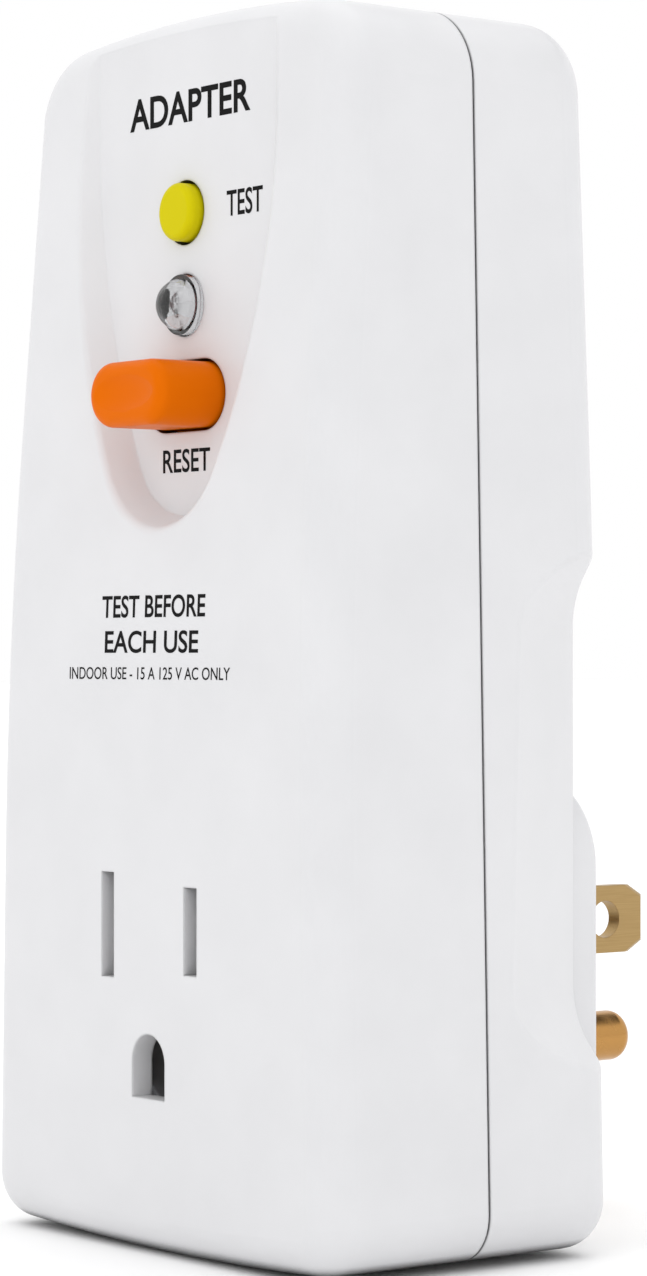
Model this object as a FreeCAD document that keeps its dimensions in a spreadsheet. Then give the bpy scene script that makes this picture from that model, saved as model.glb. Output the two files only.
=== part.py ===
import FreeCAD, Part
import os

import Sketcher
from FreeCAD import Placement, Rotation, Vector

# A plug-in ground-fault adapter: a receptacle in front, a grounded plug behind, and between
# them a trip mechanism with a TEST and a RESET button.
# Millimetres. +Y points into the wall, +Z up, +X to the right as seen from the front.
# The origin lies on the face of the plug's pad, midway between the two blades.

SIZES = {
    # case
    "case_height": 110.3, "case_width": 52.5, "case_taper": 4.8, "case_bottom": 28.1,
    "front_depth": 17.3, "rear_depth": 15.2, "top_crown": 1.6, "bottom_crown": 0.9,
    "bottom_corner": 4.4, "top_corner": 7.0, "front_round": 3.2, "rear_round": 3.8,
    "wall": 2.2, "lean_start": 6.0, "lean_knee": 46.0, "front_lean": 3.8,
    "rear_lean_start": 16.7, "rear_lean": 1.2, "deep_top": 27.9,
    "groove_width": 0.25, "groove_depth": 0.35,
    # pad around the plug
    "pad_height": 3.5, "pad_width": 38.6, "pad_length": 38.2, "pad_top": 14.1, "pad_corner": 8.25,
    # finger grips
    "grip_depth": 5.3, "grip_reach": 11.2, "grip_top": 34.8, "grip_bottom": 11.7, "grip_arc": 7.5,
    "grip_round": 0.8,
    # sloping recess round the buttons
    "recess_depth": 4.0, "recess_half": 13.5, "recess_end": 37.4, "recess_end_radius": 7.6,
    "recess_rim_half": 16.5, "recess_rim_end": 35.9, "recess_rim_radius": 9.6,
    "recess_straight": 72.8, "recess_floor": 2.0, "recess_round": 0.8,
    # plug
    "blade_spacing": 12.7, "blade_thickness": 1.5, "blade_length": 16.5, "blade_tip": 1.7, "blade_clip": 1.0,
    "hot_height": 6.35, "neutral_height": 7.9, "blade_hole": 3.5, "blade_hole_back": 4.8,
    "pin_drop": 11.9, "pin_width": 4.8, "pin_length": 19.6, "pin_shoulder": 5.8,
    "pin_round": 1.4,
    # receptacle
    "slot_rise": 0.84, "slot_width": 1.95, "slot_hot": 7.7, "slot_neutral": 9.4,
    "ground_width": 5.0, "ground_flat": 3.2,
    # circuit board
    "board_back": 16.0, "board_thickness": 1.6, "board_half": 20.5, "board_top": 74.5,
    "board_gap": 0.4,
    # buttons and lamp
    "reset_z": 48.05, "reset_width": 11.6, "reset_height": 5.8, "reset_proud": 6.7,
    "reset_travel": 2.5, "test_z": 64.4, "test_width": 5.2, "test_proud": 1.3, "test_travel": 1.0,
    "lamp_z": 56.15, "lamp_width": 5.4, "lamp_proud": 2.7, "cap_round": 1.1, "dish_depth": 0.45,
    "flange_lip": 1.4, "flange_thickness": 1.0, "stem_radius": 1.9, "button_gap": 0.3,
    # trip mechanism
    "carrier_travel": 1.4, "plunger_travel": 2.0, "plunger_radius": 1.9, "running_gap": 0.1,
    "loose_gap": 0.4, "post_radius": 1.1,
    # screws
    "screw_radius": 1.4, "screw_head": 2.4, "screw_x_low": 20.2, "screw_z_low": -21.2,
    "screw_x_high": 17.5, "screw_z_high": 72.5, "tower_radius": 4.2,
}


class Size:
    """A length that carries both its value and the spreadsheet formula that gives it."""

    def __init__(self, value, formula):
        self.value = value
        self.formula = formula

    def __add__(self, other):
        return Size(self.value + number(other), f"({self.formula} + {formula(other)})")

    def __radd__(self, other):
        return Size(other + self.value, f"({other} + {self.formula})")

    def __sub__(self, other):
        return Size(self.value - number(other), f"({self.formula} - {formula(other)})")

    def __rsub__(self, other):
        return Size(other - self.value, f"({other} - {self.formula})")

    def __mul__(self, other):
        return Size(self.value * number(other), f"({self.formula} * {formula(other)})")

    __rmul__ = __mul__

    def __truediv__(self, other):
        return Size(self.value / number(other), f"({self.formula} / {formula(other)})")

    def __neg__(self):
        return Size(-self.value, f"(0 - {self.formula})")

    def root(self):
        return Size(self.value ** 0.5, f"sqrt({self.formula})")


def number(size):
    return size.value if isinstance(size, Size) else float(size)


def formula(size):
    return size.formula if isinstance(size, Size) else f"{float(size):.6f}"


doc = FreeCAD.newDocument("ground_fault_adapter")
sheet = doc.addObject("Spreadsheet::Sheet", "dims")
for row, (alias, value) in enumerate(SIZES.items(), start=1):
    sheet.set(f"A{row}", alias)
    sheet.set(f"B{row}", str(value))
    sheet.setAlias(f"B{row}", alias)
doc.recompute()


class Dimensions:
    """Every spreadsheet cell by its alias."""

    def __init__(self):
        for alias, value in SIZES.items():
            setattr(self, alias, Size(value, f"dims.{alias}"))


D = Dimensions()
pieces = []

# ---------------------------------------------------------------- planes shared by the pieces
REAR_Y = -D.pad_height
SEAM_Y = REAR_Y - D.rear_depth
FRONT_Y = SEAM_Y - D.front_depth
BOTTOM_Z = -D.case_bottom
TOP_Z = BOTTOM_Z + D.case_height
REAR_INNER_Y = REAR_Y - D.wall - 0.5
FLOOR_Y = FRONT_Y + D.recess_depth
UPPER_INNER_Y = FLOOR_Y + D.recess_floor
LOWER_INNER_Y = FRONT_Y + D.wall
BOARD_BACK_Y = -D.board_back
BOARD_FRONT_Y = BOARD_BACK_Y - D.board_thickness
BLADE_X = D.blade_spacing / 2
SLOT_Z = D.slot_rise
GROUND_Z = SLOT_Z - D.pin_drop
PIN_Z = -D.pin_drop
HEAD_Y = REAR_INNER_Y - 2.0
TAIL_Y = SEAM_Y - 0.1
TAIL_HALF = 3.0
PIN_TAIL_Y = HEAD_Y - 1.2
PIN_TAIL_RADIUS = 1.6
BLOCK_HALF = 14.0
BLOCK_BACK_Y = TAIL_Y - 3.7
CELL_HALF = 2.4
GROUND_BORE = 2.45
LEAF = 0.8
SENSOR_Y = TAIL_Y + 0.6
SENSOR_LENGTH = 8.2
SENSOR_OUTER = 12.6
SENSOR_BORE = 8.2
SCREW_SEAT_Y = REAR_Y - 4.0
BOARD_BOTTOM = SENSOR_OUTER + D.board_gap
BOARD_STEP = D.screw_z_high - D.tower_radius - D.board_gap
BOARD_NECK = D.screw_x_high - D.tower_radius - D.board_gap
POST_X = D.board_half - 6.0
POST_Z = D.reset_z - 2.55
CARRIER_Y = BOARD_BACK_Y + 2.8
CARRIER_DEPTH = 3.5
CARRIER_HALF = POST_X + 2.5
CARRIER_LOW = POST_Z - 7.5
CARRIER_HIGH = POST_Z + 6.0
SOLENOID_Y = BOARD_BACK_Y + 5.2
FRAME_LOW = D.reset_z + 10.15
FRAME_HIGH = FRAME_LOW + 15.2
TAB_LOW = FRAME_LOW - 5.2
TAB_HIGH = TAB_LOW + 1.0
LATCH_Y = BOARD_BACK_Y + 6.8
FLANGE_Y = UPPER_INNER_Y + 0.3
STEM_END_Y = LATCH_Y - 0.2
TEST_STEM_END_Y = BOARD_FRONT_Y - 2.9
PART_ROOM = BOARD_FRONT_Y - UPPER_INNER_Y


# ---------------------------------------------------------------- sketches and features
def finish(shape_object, name):
    """Names a finished piece, which also names its file."""
    shape_object.Label = name
    pieces.append(shape_object)
    return shape_object


def new_body(name):
    return finish(doc.addObject("PartDesign::Body", name + "_body"), name)


def new_sketch(body, name, role, offset):
    """A sketch on one of the body's own origin planes, moved along the plane's normal."""
    sketch = body.newObject("Sketcher::SketchObject", f"{body.Label}_{name}")
    support = next(item for item in body.Origin.OriginFeatures if item.Role == role)
    sketch.AttachmentSupport = [(support, "")]
    sketch.MapMode = "FlatFace"
    sketch.setExpression("AttachmentOffset.Base.z", formula(offset))
    return sketch


def facing_sketch(body, name, y):
    """A sketch seen from the front: its axes are X and Z."""
    return new_sketch(body, name, "XZ_Plane", 0 - y if isinstance(y, Size) else -y)


def side_sketch(body, name, x):
    """A sketch seen from the right: its axes are Y and Z."""
    return new_sketch(body, name, "YZ_Plane", x)


def fix_point(sketch, geometry, place, x, y):
    for kind, size in (("DistanceX", x), ("DistanceY", y)):
        index = sketch.addConstraint(
            Sketcher.Constraint(kind, -1, 1, geometry, place, number(size)))
        sketch.setExpression(f"Constraints[{index}]", formula(size))


def draw_circle(sketch, x, y, radius):
    centre = Vector(number(x), number(y), 0)
    index = sketch.addGeometry(Part.Circle(centre, Vector(0, 0, 1), number(radius)))
    fix_point(sketch, index, 3, x, y)
    size = sketch.addConstraint(Sketcher.Constraint("Radius", index, number(radius)))
    sketch.setExpression(f"Constraints[{size}]", formula(radius))


def shape_arc(sketch, index, corner, chord):
    """Fixes an arc by its radius, or a half circle by where its centre lies along its chord."""
    if abs(number(corner[2]) - chord.Length / 2) > 1e-6:
        size = sketch.addConstraint(Sketcher.Constraint("Radius", index, number(corner[2])))
        sketch.setExpression(f"Constraints[{size}]", formula(corner[2]))
        return
    level = abs(chord.x) > abs(chord.y)
    kind, size = ("DistanceY", corner[1]) if level else ("DistanceX", corner[0])
    centre = sketch.addConstraint(Sketcher.Constraint(kind, -1, 1, index, 3, number(size)))
    sketch.setExpression(f"Constraints[{centre}]", formula(size))


def draw_outline(sketch, corners):
    """A closed outline. A corner is (x, y), or (x, y, radius, side) where an arc runs on from it;
    side is 1 for an arc that bulges left of the way along and -1 for one that bulges right."""
    points = [Vector(number(c[0]), number(c[1]), 0) for c in corners]
    ends = []
    for i, corner in enumerate(corners):
        here = points[i]
        there = points[(i + 1) % len(points)]
        if len(corner) == 2:
            index = sketch.addGeometry(Part.LineSegment(here, there))
            ends.append((index, 1, 2))
            continue
        radius = number(corner[2])
        chord = there - here
        half = chord.Length / 2
        rise = radius - max(radius * radius - half * half, 0) ** 0.5
        left = Vector(-chord.y, chord.x, 0).normalize()
        middle = (here + there) * 0.5 + left * (rise * corner[3])
        index = sketch.addGeometry(Part.Arc(here, middle, there))
        start = sketch.getPoint(index, 1)
        ends.append((index, 1, 2) if (start - here).Length < (start - there).Length else (index, 2, 1))
    for i, corner in enumerate(corners):
        index, start, end = ends[i]
        following, following_start, _ = ends[(i + 1) % len(ends)]
        sketch.addConstraint(
            Sketcher.Constraint("Coincident", index, end, following, following_start))
        fix_point(sketch, index, start, corner[0], corner[1])
        if len(corner) == 4:
            shape_arc(sketch, index, corner, points[(i + 1) % len(points)] - points[i])


def rectangle(sketch, x0, x1, y0, y1):
    draw_outline(sketch, [(x0, y0), (x1, y0), (x1, y1), (x0, y1)])


def stadium(sketch, x, y, half_width, half_height):
    """A slot with round ends, lying along the sketch's first axis."""
    straight = half_width - half_height
    draw_outline(sketch, [
        (x - straight, y - half_height),
        (x + straight, y - half_height, half_height, -1),
        (x + straight, y + half_height),
        (x - straight, y + half_height, half_height, -1)])


def rounded_rectangle(sketch, x0, x1, y0, y1, radius):
    draw_outline(sketch, [
        (x0 + radius, y0), (x1 - radius, y0, radius, -1),
        (x1, y0 + radius), (x1, y1 - radius, radius, -1),
        (x1 - radius, y1), (x0 + radius, y1, radius, -1),
        (x0, y1 - radius), (x0, y0 + radius, radius, -1)])


def add_feature(body, kind, name, profile, length, flip, symmetric=False):
    feature = body.newObject(f"PartDesign::{kind}", f"{body.Label}_{name}")
    feature.Profile = profile
    feature.Type = "Length"
    feature.setExpression("Length", formula(length))
    feature.Reversed = flip
    if symmetric:
        feature.SideType = "Symmetric"
    return feature


def volume(body):
    return body.Tip.Shape.Volume if body.Tip else 0.0


def settle(body, name, grew):
    """Recomputes and stops if the last feature did nothing or went the wrong way."""
    before = volume_before.get(body.Name, 0.0)
    doc.recompute()
    after = volume(body)
    if (after <= before) if grew else (after >= before):
        raise RuntimeError(f"{body.Label}: {name} changed the volume from {before:.2f} to {after:.2f}")
    volume_before[body.Name] = after


volume_before = {}


def pad(body, name, sketch, length, towards="front", symmetric=False):
    """Adds material from the sketch. On a facing sketch the front is -Y; on a side one it is +X."""
    add_feature(body, "Pad", name, sketch, length, towards == "rear", symmetric)
    settle(body, name, True)


def pocket(body, name, sketch, length, towards="front", symmetric=False):
    """Removes material from the sketch's plane towards the front or the rear."""
    add_feature(body, "Pocket", name, sketch, length, towards == "front", symmetric)
    settle(body, name, False)


def dress(body, kind, name, wanted, size):
    """Rounds or chamfers the edges for which wanted(edge) is true."""
    base = body.Tip
    edges = [f"Edge{i}" for i, edge in enumerate(base.Shape.Edges, start=1) if wanted(edge)]
    if not edges:
        raise RuntimeError(f"{body.Label}: {name} found no edge")
    feature = body.newObject(f"PartDesign::{kind}", f"{body.Label}_{name}")
    feature.Base = (base, edges)
    feature.setExpression("Radius" if kind == "Fillet" else "Size", formula(size))
    doc.recompute()
    if feature.Shape.isNull() or not feature.Shape.isValid():
        raise RuntimeError(f"{body.Label}: {name} failed")
    volume_before[body.Name] = feature.Shape.Volume


def is_line(edge):
    return edge.Curve.TypeId == "Part::GeomLine"


def runs_along(edge, axis):
    return is_line(edge) and abs(abs(edge.Curve.Direction.dot(axis)) - 1) < 1e-6


X_AXIS = Vector(1, 0, 0)
Y_AXIS = Vector(0, 1, 0)
Z_AXIS = Vector(0, 0, 1)


# ---------------------------------------------------------------- primitives
def block(name, x0, x1, y0, y1, z0, z1):
    """A box between two corners."""
    item = doc.addObject("Part::Box", name)
    for prop, low, high in (("Length", x0, x1), ("Width", y0, y1), ("Height", z0, z1)):
        item.setExpression(prop, f"{formula(high)} - {formula(low)}")
    place(item, x0, y0, z0)
    return item


def place(item, x, y, z):
    for axis, size in (("x", x), ("y", y), ("z", z)):
        item.setExpression(f"Placement.Base.{axis}", formula(size))


ALONG = {"x": Rotation(Y_AXIS, 90), "y": Rotation(X_AXIS, -90), "z": Rotation()}


def rod(name, axis, x, y, z, radius, length):
    """A cylinder that starts at (x, y, z) and runs up the named axis."""
    item = doc.addObject("Part::Cylinder", name)
    item.setExpression("Radius", formula(radius))
    item.setExpression("Height", formula(length))
    item.Placement = Placement(Vector(), ALONG[axis])
    place(item, x, y, z)
    return item


def join(name, parts):
    item = doc.addObject("Part::MultiFuse", name)
    item.Shapes = parts
    item.Refine = True
    return item


def cut(name, base, tools):
    item = doc.addObject("Part::Cut", name)
    item.Base = base
    item.Tool = tools[0] if len(tools) == 1 else join(name + "_tools", tools)
    return item


def group(name, parts):
    """Several loose solids kept as one piece."""
    item = doc.addObject("Part::Compound", name)
    item.Links = parts
    return item


def tube(name, axis, x, y, z, outer, inner, length):
    return cut(name, rod(name + "_outer", axis, x, y, z, outer, length),
               [rod(name + "_inner", axis, x, y, z, inner, length)])


def coil_spring(name, axis, x, y, z, coil_radius, wire, length, turns):
    """A round-wire compression spring whose coils fill the length from (x, y, z)."""
    helix = doc.addObject("Part::Helix", name + "_helix")
    helix.setExpression("Radius", formula(coil_radius))
    helix.setExpression("Height", f"{formula(length)} - {formula(wire)}")
    helix.setExpression("Pitch", f"({formula(length)} - {formula(wire)}) / {turns}")
    helix.SegmentLength = 1
    section = doc.addObject("Part::Circle", name + "_wire")
    section.setExpression("Radius", f"{formula(wire)} / 2")
    section.Placement = Placement(Vector(), Rotation(X_AXIS, 90))
    section.setExpression("Placement.Base.x", formula(coil_radius))
    sweep = doc.addObject("Part::Sweep", name + "_coil")
    sweep.Sections = [section]
    sweep.Spine = (helix, [f"Edge{i}" for i in range(1, turns + 1)])
    sweep.Solid = True
    sweep.Frenet = True
    sweep.Placement = Placement(Vector(), ALONG[axis])
    shift = {"x": 0, "y": 0, "z": 0}
    shift[axis] = wire / 2
    place(sweep, x + shift["x"], y + shift["y"], z + shift["z"])
    return sweep


# ---------------------------------------------------------------- case
def crown_radius(half, crown):
    """The radius of an arc that rises by crown over a chord of half to each side."""
    return (half * half + crown * crown) / (crown * 2)


def case_outline(body, name, y, inset):
    """The case seen from the front, drawn in by inset: tapered sides, crowned top and bottom."""
    half_low = D.case_width / 2 - inset
    half_high = (D.case_width - D.case_taper) / 2 - inset
    low = BOTTOM_Z + D.bottom_crown + inset
    high = TOP_Z - D.top_crown - inset
    low_radius = crown_radius(half_low, D.bottom_crown)
    high_radius = crown_radius(half_high, D.top_crown)
    sketch = facing_sketch(body, name, y)
    draw_outline(sketch, [
        (-half_low, low, low_radius, -1), (half_low, low),
        (half_high, high, high_radius, -1), (-half_high, high)])
    return sketch


def round_case_corners(body, tag, inset):
    """Rounds the four corners of the outline last added, top and bottom apart."""
    middle = (TOP_Z.value + BOTTOM_Z.value) / 2
    low_limit = D.case_width.value / 2 - number(inset) - 1.0
    high_limit = low_limit - D.case_taper.value / 2

    def corner(edge, top):
        at = edge.Vertexes[0].Point
        limit = high_limit if top else low_limit
        low_reach = BOTTOM_Z.value + number(inset) + 2.0
        high_reach = TOP_Z.value - number(inset) - 2.0
        outer = at.z > high_reach if top else at.z < low_reach
        inside = abs(abs(at.x) - limit - 1.0) < 0.6
        return runs_along(edge, Y_AXIS) and (at.z > middle) == top and outer and inside

    dress(body, "Fillet", tag + "_top_corners", lambda e: corner(e, True), D.top_corner - inset)
    dress(body, "Fillet", tag + "_bottom_corners", lambda e: corner(e, False), D.bottom_corner - inset)


def lean_curve(lean, start_z, knee_z):
    """A face that curves back from start_z to knee_z and runs on straight to the top.
    Gives the curve's radius, how far back the knee lies and the slope above it."""
    bent = knee_z - start_z
    straight = TOP_Z - knee_z
    radius = bent * (bent / 2 + straight) / lean
    drop = (radius * radius - bent * bent).root()
    return radius, radius - drop, bent / drop


def lean_cut(body, name, y, curve, start_z, knee_z, outward):
    """Takes the space in front of a lean curve off a face of the case."""
    radius, knee_back, slope = curve
    end_z = TOP_Z + 1.0
    sketch = side_sketch(body, name, 0)
    far = y + outward * 2.0
    draw_outline(sketch, [
        (y, start_z, radius, -outward), (y - outward * knee_back, knee_z),
        (y - outward * (knee_back + slope * (end_z - knee_z)), end_z),
        (far, end_z), (far, start_z)])
    pocket(body, name, sketch, D.case_width + 10, symmetric=True)


def screw_places():
    return [(side * x, z) for x, z in ((D.screw_x_low, D.screw_z_low), (D.screw_x_high, D.screw_z_high))
            for side in (-1, 1)]


def recess_outline(sketch, half, end_z, end_radius):
    """A tongue shape: straight sides, long side arcs and a round end, open past the case's top."""
    top = TOP_Z + 3.0
    straight = D.recess_straight
    drop = straight - end_z - end_radius
    side_radius = (half * half + drop * drop - end_radius * end_radius) / ((half - end_radius) * 2)
    reach = side_radius - end_radius
    knee_x = end_radius * (side_radius - half) / reach
    knee_z = end_z + end_radius - end_radius * drop / reach
    draw_outline(sketch, [
        (half, top), (-half, top), (-half, straight, side_radius, -1),
        (-knee_x, knee_z, end_radius, -1), (knee_x, knee_z, side_radius, -1), (half, straight)])


FRONT_CURVE = lean_curve(D.front_lean, D.lean_start, D.lean_knee)


def cut_recess(body):
    """The recess round the buttons: a flat upright floor and sloping sides."""
    floor = facing_sketch(body, "recess_floor", FLOOR_Y)
    recess_outline(floor, D.recess_half, D.recess_end, D.recess_end_radius)
    rim = facing_sketch(body, "recess_rim", FRONT_Y)
    recess_outline(rim, D.recess_rim_half, D.recess_rim_end, D.recess_rim_radius)
    # the rim's sketch leans with the face's straight part, a little in front of it
    ahead = 0.9
    _, knee_back, slope = FRONT_CURVE
    rim.setExpression("AttachmentOffset.Rotation.Axis.x", "1")
    rim.setExpression("AttachmentOffset.Rotation.Axis.y", "0")
    rim.setExpression("AttachmentOffset.Rotation.Axis.z", "0")
    rim.setExpression("AttachmentOffset.Rotation.Angle", f"-1 * atan({slope.formula})")
    rim.setExpression("AttachmentOffset.Base.z",
                      formula(0 - FRONT_Y + ahead - knee_back + slope * D.lean_knee))
    loft = body.newObject("PartDesign::SubtractiveLoft", "front_cover_recess")
    loft.Profile = floor
    loft.Sections = [rim]
    loft.Ruled = True
    settle(body, "recess", False)
    reach = D.recess_rim_half.value + 1.0
    highest = FLOOR_Y.value - 0.3
    lowest = D.recess_rim_end.value - 1.0

    def on_rim(edge):
        box = edge.BoundBox
        inside = box.XMin > -reach and box.XMax < reach and box.ZMin > lowest
        return inside and box.YMax < highest and box.ZLength > 0.5

    dress(body, "Fillet", "recess_rim", on_rim, D.recess_round)


def cut_receptacle(body):
    depth = D.wall + 2.0
    slots = facing_sketch(body, "slots", FRONT_Y + depth)
    for side, height in ((1, D.slot_hot), (-1, D.slot_neutral)):
        middle = side * BLADE_X
        rectangle(slots, middle - D.slot_width / 2, middle + D.slot_width / 2,
                  SLOT_Z - height / 2, SLOT_Z + height / 2)
    radius = D.ground_width / 2
    draw_outline(slots, [
        (-radius, GROUND_Z - D.ground_flat), (radius, GROUND_Z - D.ground_flat),
        (radius, GROUND_Z, radius, -1), (-radius, GROUND_Z)])
    pocket(body, "slots", slots, depth + 1.0)


def build_front_cover():
    body = new_body("front_cover")
    pad(body, "shell", case_outline(body, "outline", SEAM_Y, 0), D.front_depth)
    round_case_corners(body, "outer", 0)
    lean_cut(body, "lean", FRONT_Y, FRONT_CURVE, D.lean_start, D.lean_knee, -1)
    front_limit = FRONT_Y.value + D.front_lean.value + 0.5
    dress(body, "Fillet", "front_edge",
          lambda e: e.BoundBox.YMax < front_limit and not runs_along(e, X_AXIS), D.front_round)
    hollow = case_outline(body, "hollow", SEAM_Y, D.wall)
    pocket(body, "hollow", hollow, UPPER_INNER_Y * -1 + SEAM_Y)
    round_case_corners(body, "inner", D.wall)
    deep = facing_sketch(body, "deep", UPPER_INNER_Y)
    side = D.case_width / 2 - D.wall * 2
    rectangle(deep, -side, side, BOTTOM_Z + D.wall * 2, D.deep_top)
    pocket(body, "deep", deep, UPPER_INNER_Y - LOWER_INNER_Y)
    cut_recess(body)
    cut_receptacle(body)
    holes = facing_sketch(body, "holes", UPPER_INNER_Y)
    stadium(holes, 0, D.reset_z, D.reset_width / 2 + D.button_gap, D.reset_height / 2 + D.button_gap)
    draw_circle(holes, 0, D.test_z, D.test_width / 2 + D.button_gap)
    draw_circle(holes, 0, D.lamp_z, D.lamp_width / 2 + D.running_gap)
    pocket(body, "holes", holes, D.recess_floor + 5.0)
    posts = facing_sketch(body, "posts", SEAM_Y)
    for x, z in screw_places():
        draw_circle(posts, x, z, D.tower_radius - 1.0)
    pad(body, "posts", posts, SEAM_Y - UPPER_INNER_Y + 0.5)
    low_posts = facing_sketch(body, "low_posts", UPPER_INNER_Y)
    for side_x in (-1, 1):
        draw_circle(low_posts, side_x * D.screw_x_low, D.screw_z_low, D.tower_radius - 1.0)
    pad(body, "low_posts", low_posts, UPPER_INNER_Y - LOWER_INNER_Y + 0.5)
    rests = facing_sketch(body, "rests", BOARD_FRONT_Y)
    for side_x in (-1, 1):
        for z in (BOARD_BOTTOM + 4.0, BOARD_STEP - 4.0):
            draw_circle(rests, side_x * (D.board_half - 3.0), z, 2.0)
    pad(body, "rests", rests, BOARD_FRONT_Y - UPPER_INNER_Y + 0.5)
    low_rests = facing_sketch(body, "low_rests", UPPER_INNER_Y)
    for side_x in (-1, 1):
        draw_circle(low_rests, side_x * (D.board_half - 3.0), BOARD_BOTTOM + 4.0, 2.0)
    pad(body, "low_rests", low_rests, UPPER_INNER_Y - LOWER_INNER_Y + 0.5)
    threads = facing_sketch(body, "threads", SEAM_Y)
    for x, z in screw_places():
        draw_circle(threads, x, z, D.screw_radius + 0.05)
    pocket(body, "threads", threads, 10.0)


def grip_sketch(body, side):
    """One finger grip seen from the rear face: a shallow hollow with round ends."""
    edge = D.case_width / 2 + 2.0
    floor = D.case_width / 2 - D.case_taper / 5 - D.grip_depth
    arc = D.grip_arc
    end = D.grip_depth + 0.5
    radius = (arc * arc + end * end) / (end * 2)
    sketch = facing_sketch(body, f"grip_{'right' if side > 0 else 'left'}", REAR_Y)
    draw_outline(sketch, [
        (side * (floor + end), D.grip_top, radius, -side),
        (side * floor, D.grip_top - arc),
        (side * floor, -D.grip_bottom + arc, radius, -side),
        (side * (floor + end), -D.grip_bottom),
        (side * (edge + 12.0), -D.grip_bottom), (side * (edge + 12.0), D.grip_top)])
    return sketch


def on_grip(edge):
    """Whether an edge of the rear cover bounds a finger grip."""
    box = edge.BoundBox
    level = box.ZMin > -D.grip_bottom.value - 1.5 and box.ZMax < D.grip_top.value + 1.5
    deep = REAR_Y.value - D.grip_reach.value - 1.5
    inward = D.case_width.value / 2 - D.grip_depth.value - 2.5
    return level and box.YMin > deep and (box.XMin > inward or box.XMax < -inward)


def build_rear_cover():
    body = new_body("rear_cover")
    shell_front = SEAM_Y + D.groove_width
    pad(body, "lip", case_outline(body, "lip", shell_front, D.groove_depth), D.groove_width)
    round_case_corners(body, "lip", D.groove_depth)
    pad(body, "shell", case_outline(body, "outline", REAR_Y, 0), REAR_Y - shell_front)
    round_case_corners(body, "outer", 0)
    lean_cut(body, "lean", REAR_Y, lean_curve(D.rear_lean, D.rear_lean_start, D.lean_knee),
             D.rear_lean_start, D.lean_knee, 1)
    rear_limit = REAR_Y.value - D.rear_lean.value - 0.5
    dress(body, "Fillet", "rear_edge",
          lambda e: e.BoundBox.YMin > rear_limit and not runs_along(e, X_AXIS), D.rear_round)
    for side in (-1, 1):
        grip = add_feature(body, "Pocket", f"grip_{side + 1}", grip_sketch(body, side),
                           D.grip_reach + 3.0, False)
        grip.UseCustomVector = True
        grip.Direction = Vector(side * D.grip_depth.value, -D.grip_reach.value, 0)
        grip.AlongSketchNormal = False
        settle(body, "grip", False)
    dress(body, "Fillet", "grip_edges", on_grip, D.grip_round)
    hollow_rear_cover(body)
    plug_pad = facing_sketch(body, "plug_pad", REAR_Y - 0.5)
    rounded_rectangle(plug_pad, -D.pad_width / 2, D.pad_width / 2,
                      D.pad_top - D.pad_length, D.pad_top, D.pad_corner)
    pad(body, "plug_pad", plug_pad, D.pad_height + 0.5, "rear")
    dress(body, "Fillet", "pad_edge",
          lambda e: abs(e.BoundBox.YMin) < 1e-6 and abs(e.BoundBox.YMax) < 1e-6, 0.6)
    cut_plug_holes(body)
    add_towers(body)


def hollow_rear_cover(body):
    """Full width behind the seam, then a waist that leaves a wall behind each finger grip."""
    waist_y = REAR_Y - D.grip_reach - 0.6
    upper = case_outline(body, "hollow", SEAM_Y, D.wall)
    pocket(body, "hollow", upper, waist_y - SEAM_Y, "rear")
    round_case_corners(body, "inner", D.wall)
    low_half = D.case_width / 2 - D.wall * 2
    high_half = (D.case_width - D.case_taper) / 2 - D.wall
    waist = D.case_width / 2 - D.case_taper / 5 - D.grip_depth - D.wall
    low = BOTTOM_Z + D.wall * 2
    high = TOP_Z - D.wall * 2
    waist_low = -D.grip_bottom - D.wall
    waist_high = D.grip_top + D.wall
    inner = facing_sketch(body, "waist", waist_y)
    draw_outline(inner, [
        (-low_half, low), (low_half, low), (low_half, waist_low), (waist, waist_low),
        (waist, waist_high), (high_half, waist_high), (high_half, high), (-high_half, high),
        (-high_half, waist_high), (-waist, waist_high), (-waist, waist_low), (-low_half, waist_low)])
    pocket(body, "waist", inner, REAR_INNER_Y - waist_y, "rear")


def cut_plug_holes(body):
    """Close slots for the two blades and a hole for the ground pin."""
    gap = 0.05
    holes = facing_sketch(body, "plug_holes", REAR_INNER_Y - 1.0)
    for side, height in ((1, D.hot_height), (-1, D.neutral_height)):
        half = D.blade_thickness / 2 + gap
        rectangle(holes, side * BLADE_X - half, side * BLADE_X + half,
                  -height / 2 - gap, height / 2 + gap)
    draw_circle(holes, 0, PIN_Z, D.pin_shoulder / 2 + gap)
    pocket(body, "plug_holes", holes, 2.0 - REAR_INNER_Y, "rear")


def add_towers(body):
    """Towers that the case screws pass through, and posts that the contact carrier slides on."""
    towers = facing_sketch(body, "towers", REAR_INNER_Y + 0.5)
    for x, z in screw_places():
        draw_circle(towers, x, z, D.tower_radius)
    pad(body, "towers", towers, REAR_INNER_Y + 0.5 - SEAM_Y)
    shanks = facing_sketch(body, "shanks", SEAM_Y - 1.0)
    for x, z in screw_places():
        draw_circle(shanks, x, z, D.screw_radius + 0.2)
    pocket(body, "shanks", shanks, 1.0 - SEAM_Y, "rear")
    heads = facing_sketch(body, "heads", SCREW_SEAT_Y)
    for x, z in screw_places():
        draw_circle(heads, x, z, D.screw_head + 0.2)
    pocket(body, "heads", heads, -SCREW_SEAT_Y, "rear")
    posts = facing_sketch(body, "posts", REAR_INNER_Y + 0.5)
    for side in (-1, 1):
        draw_circle(posts, side * POST_X, POST_Z, D.post_radius)
    pad(body, "posts", posts, REAR_INNER_Y + 0.5 - BOARD_BACK_Y)


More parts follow.
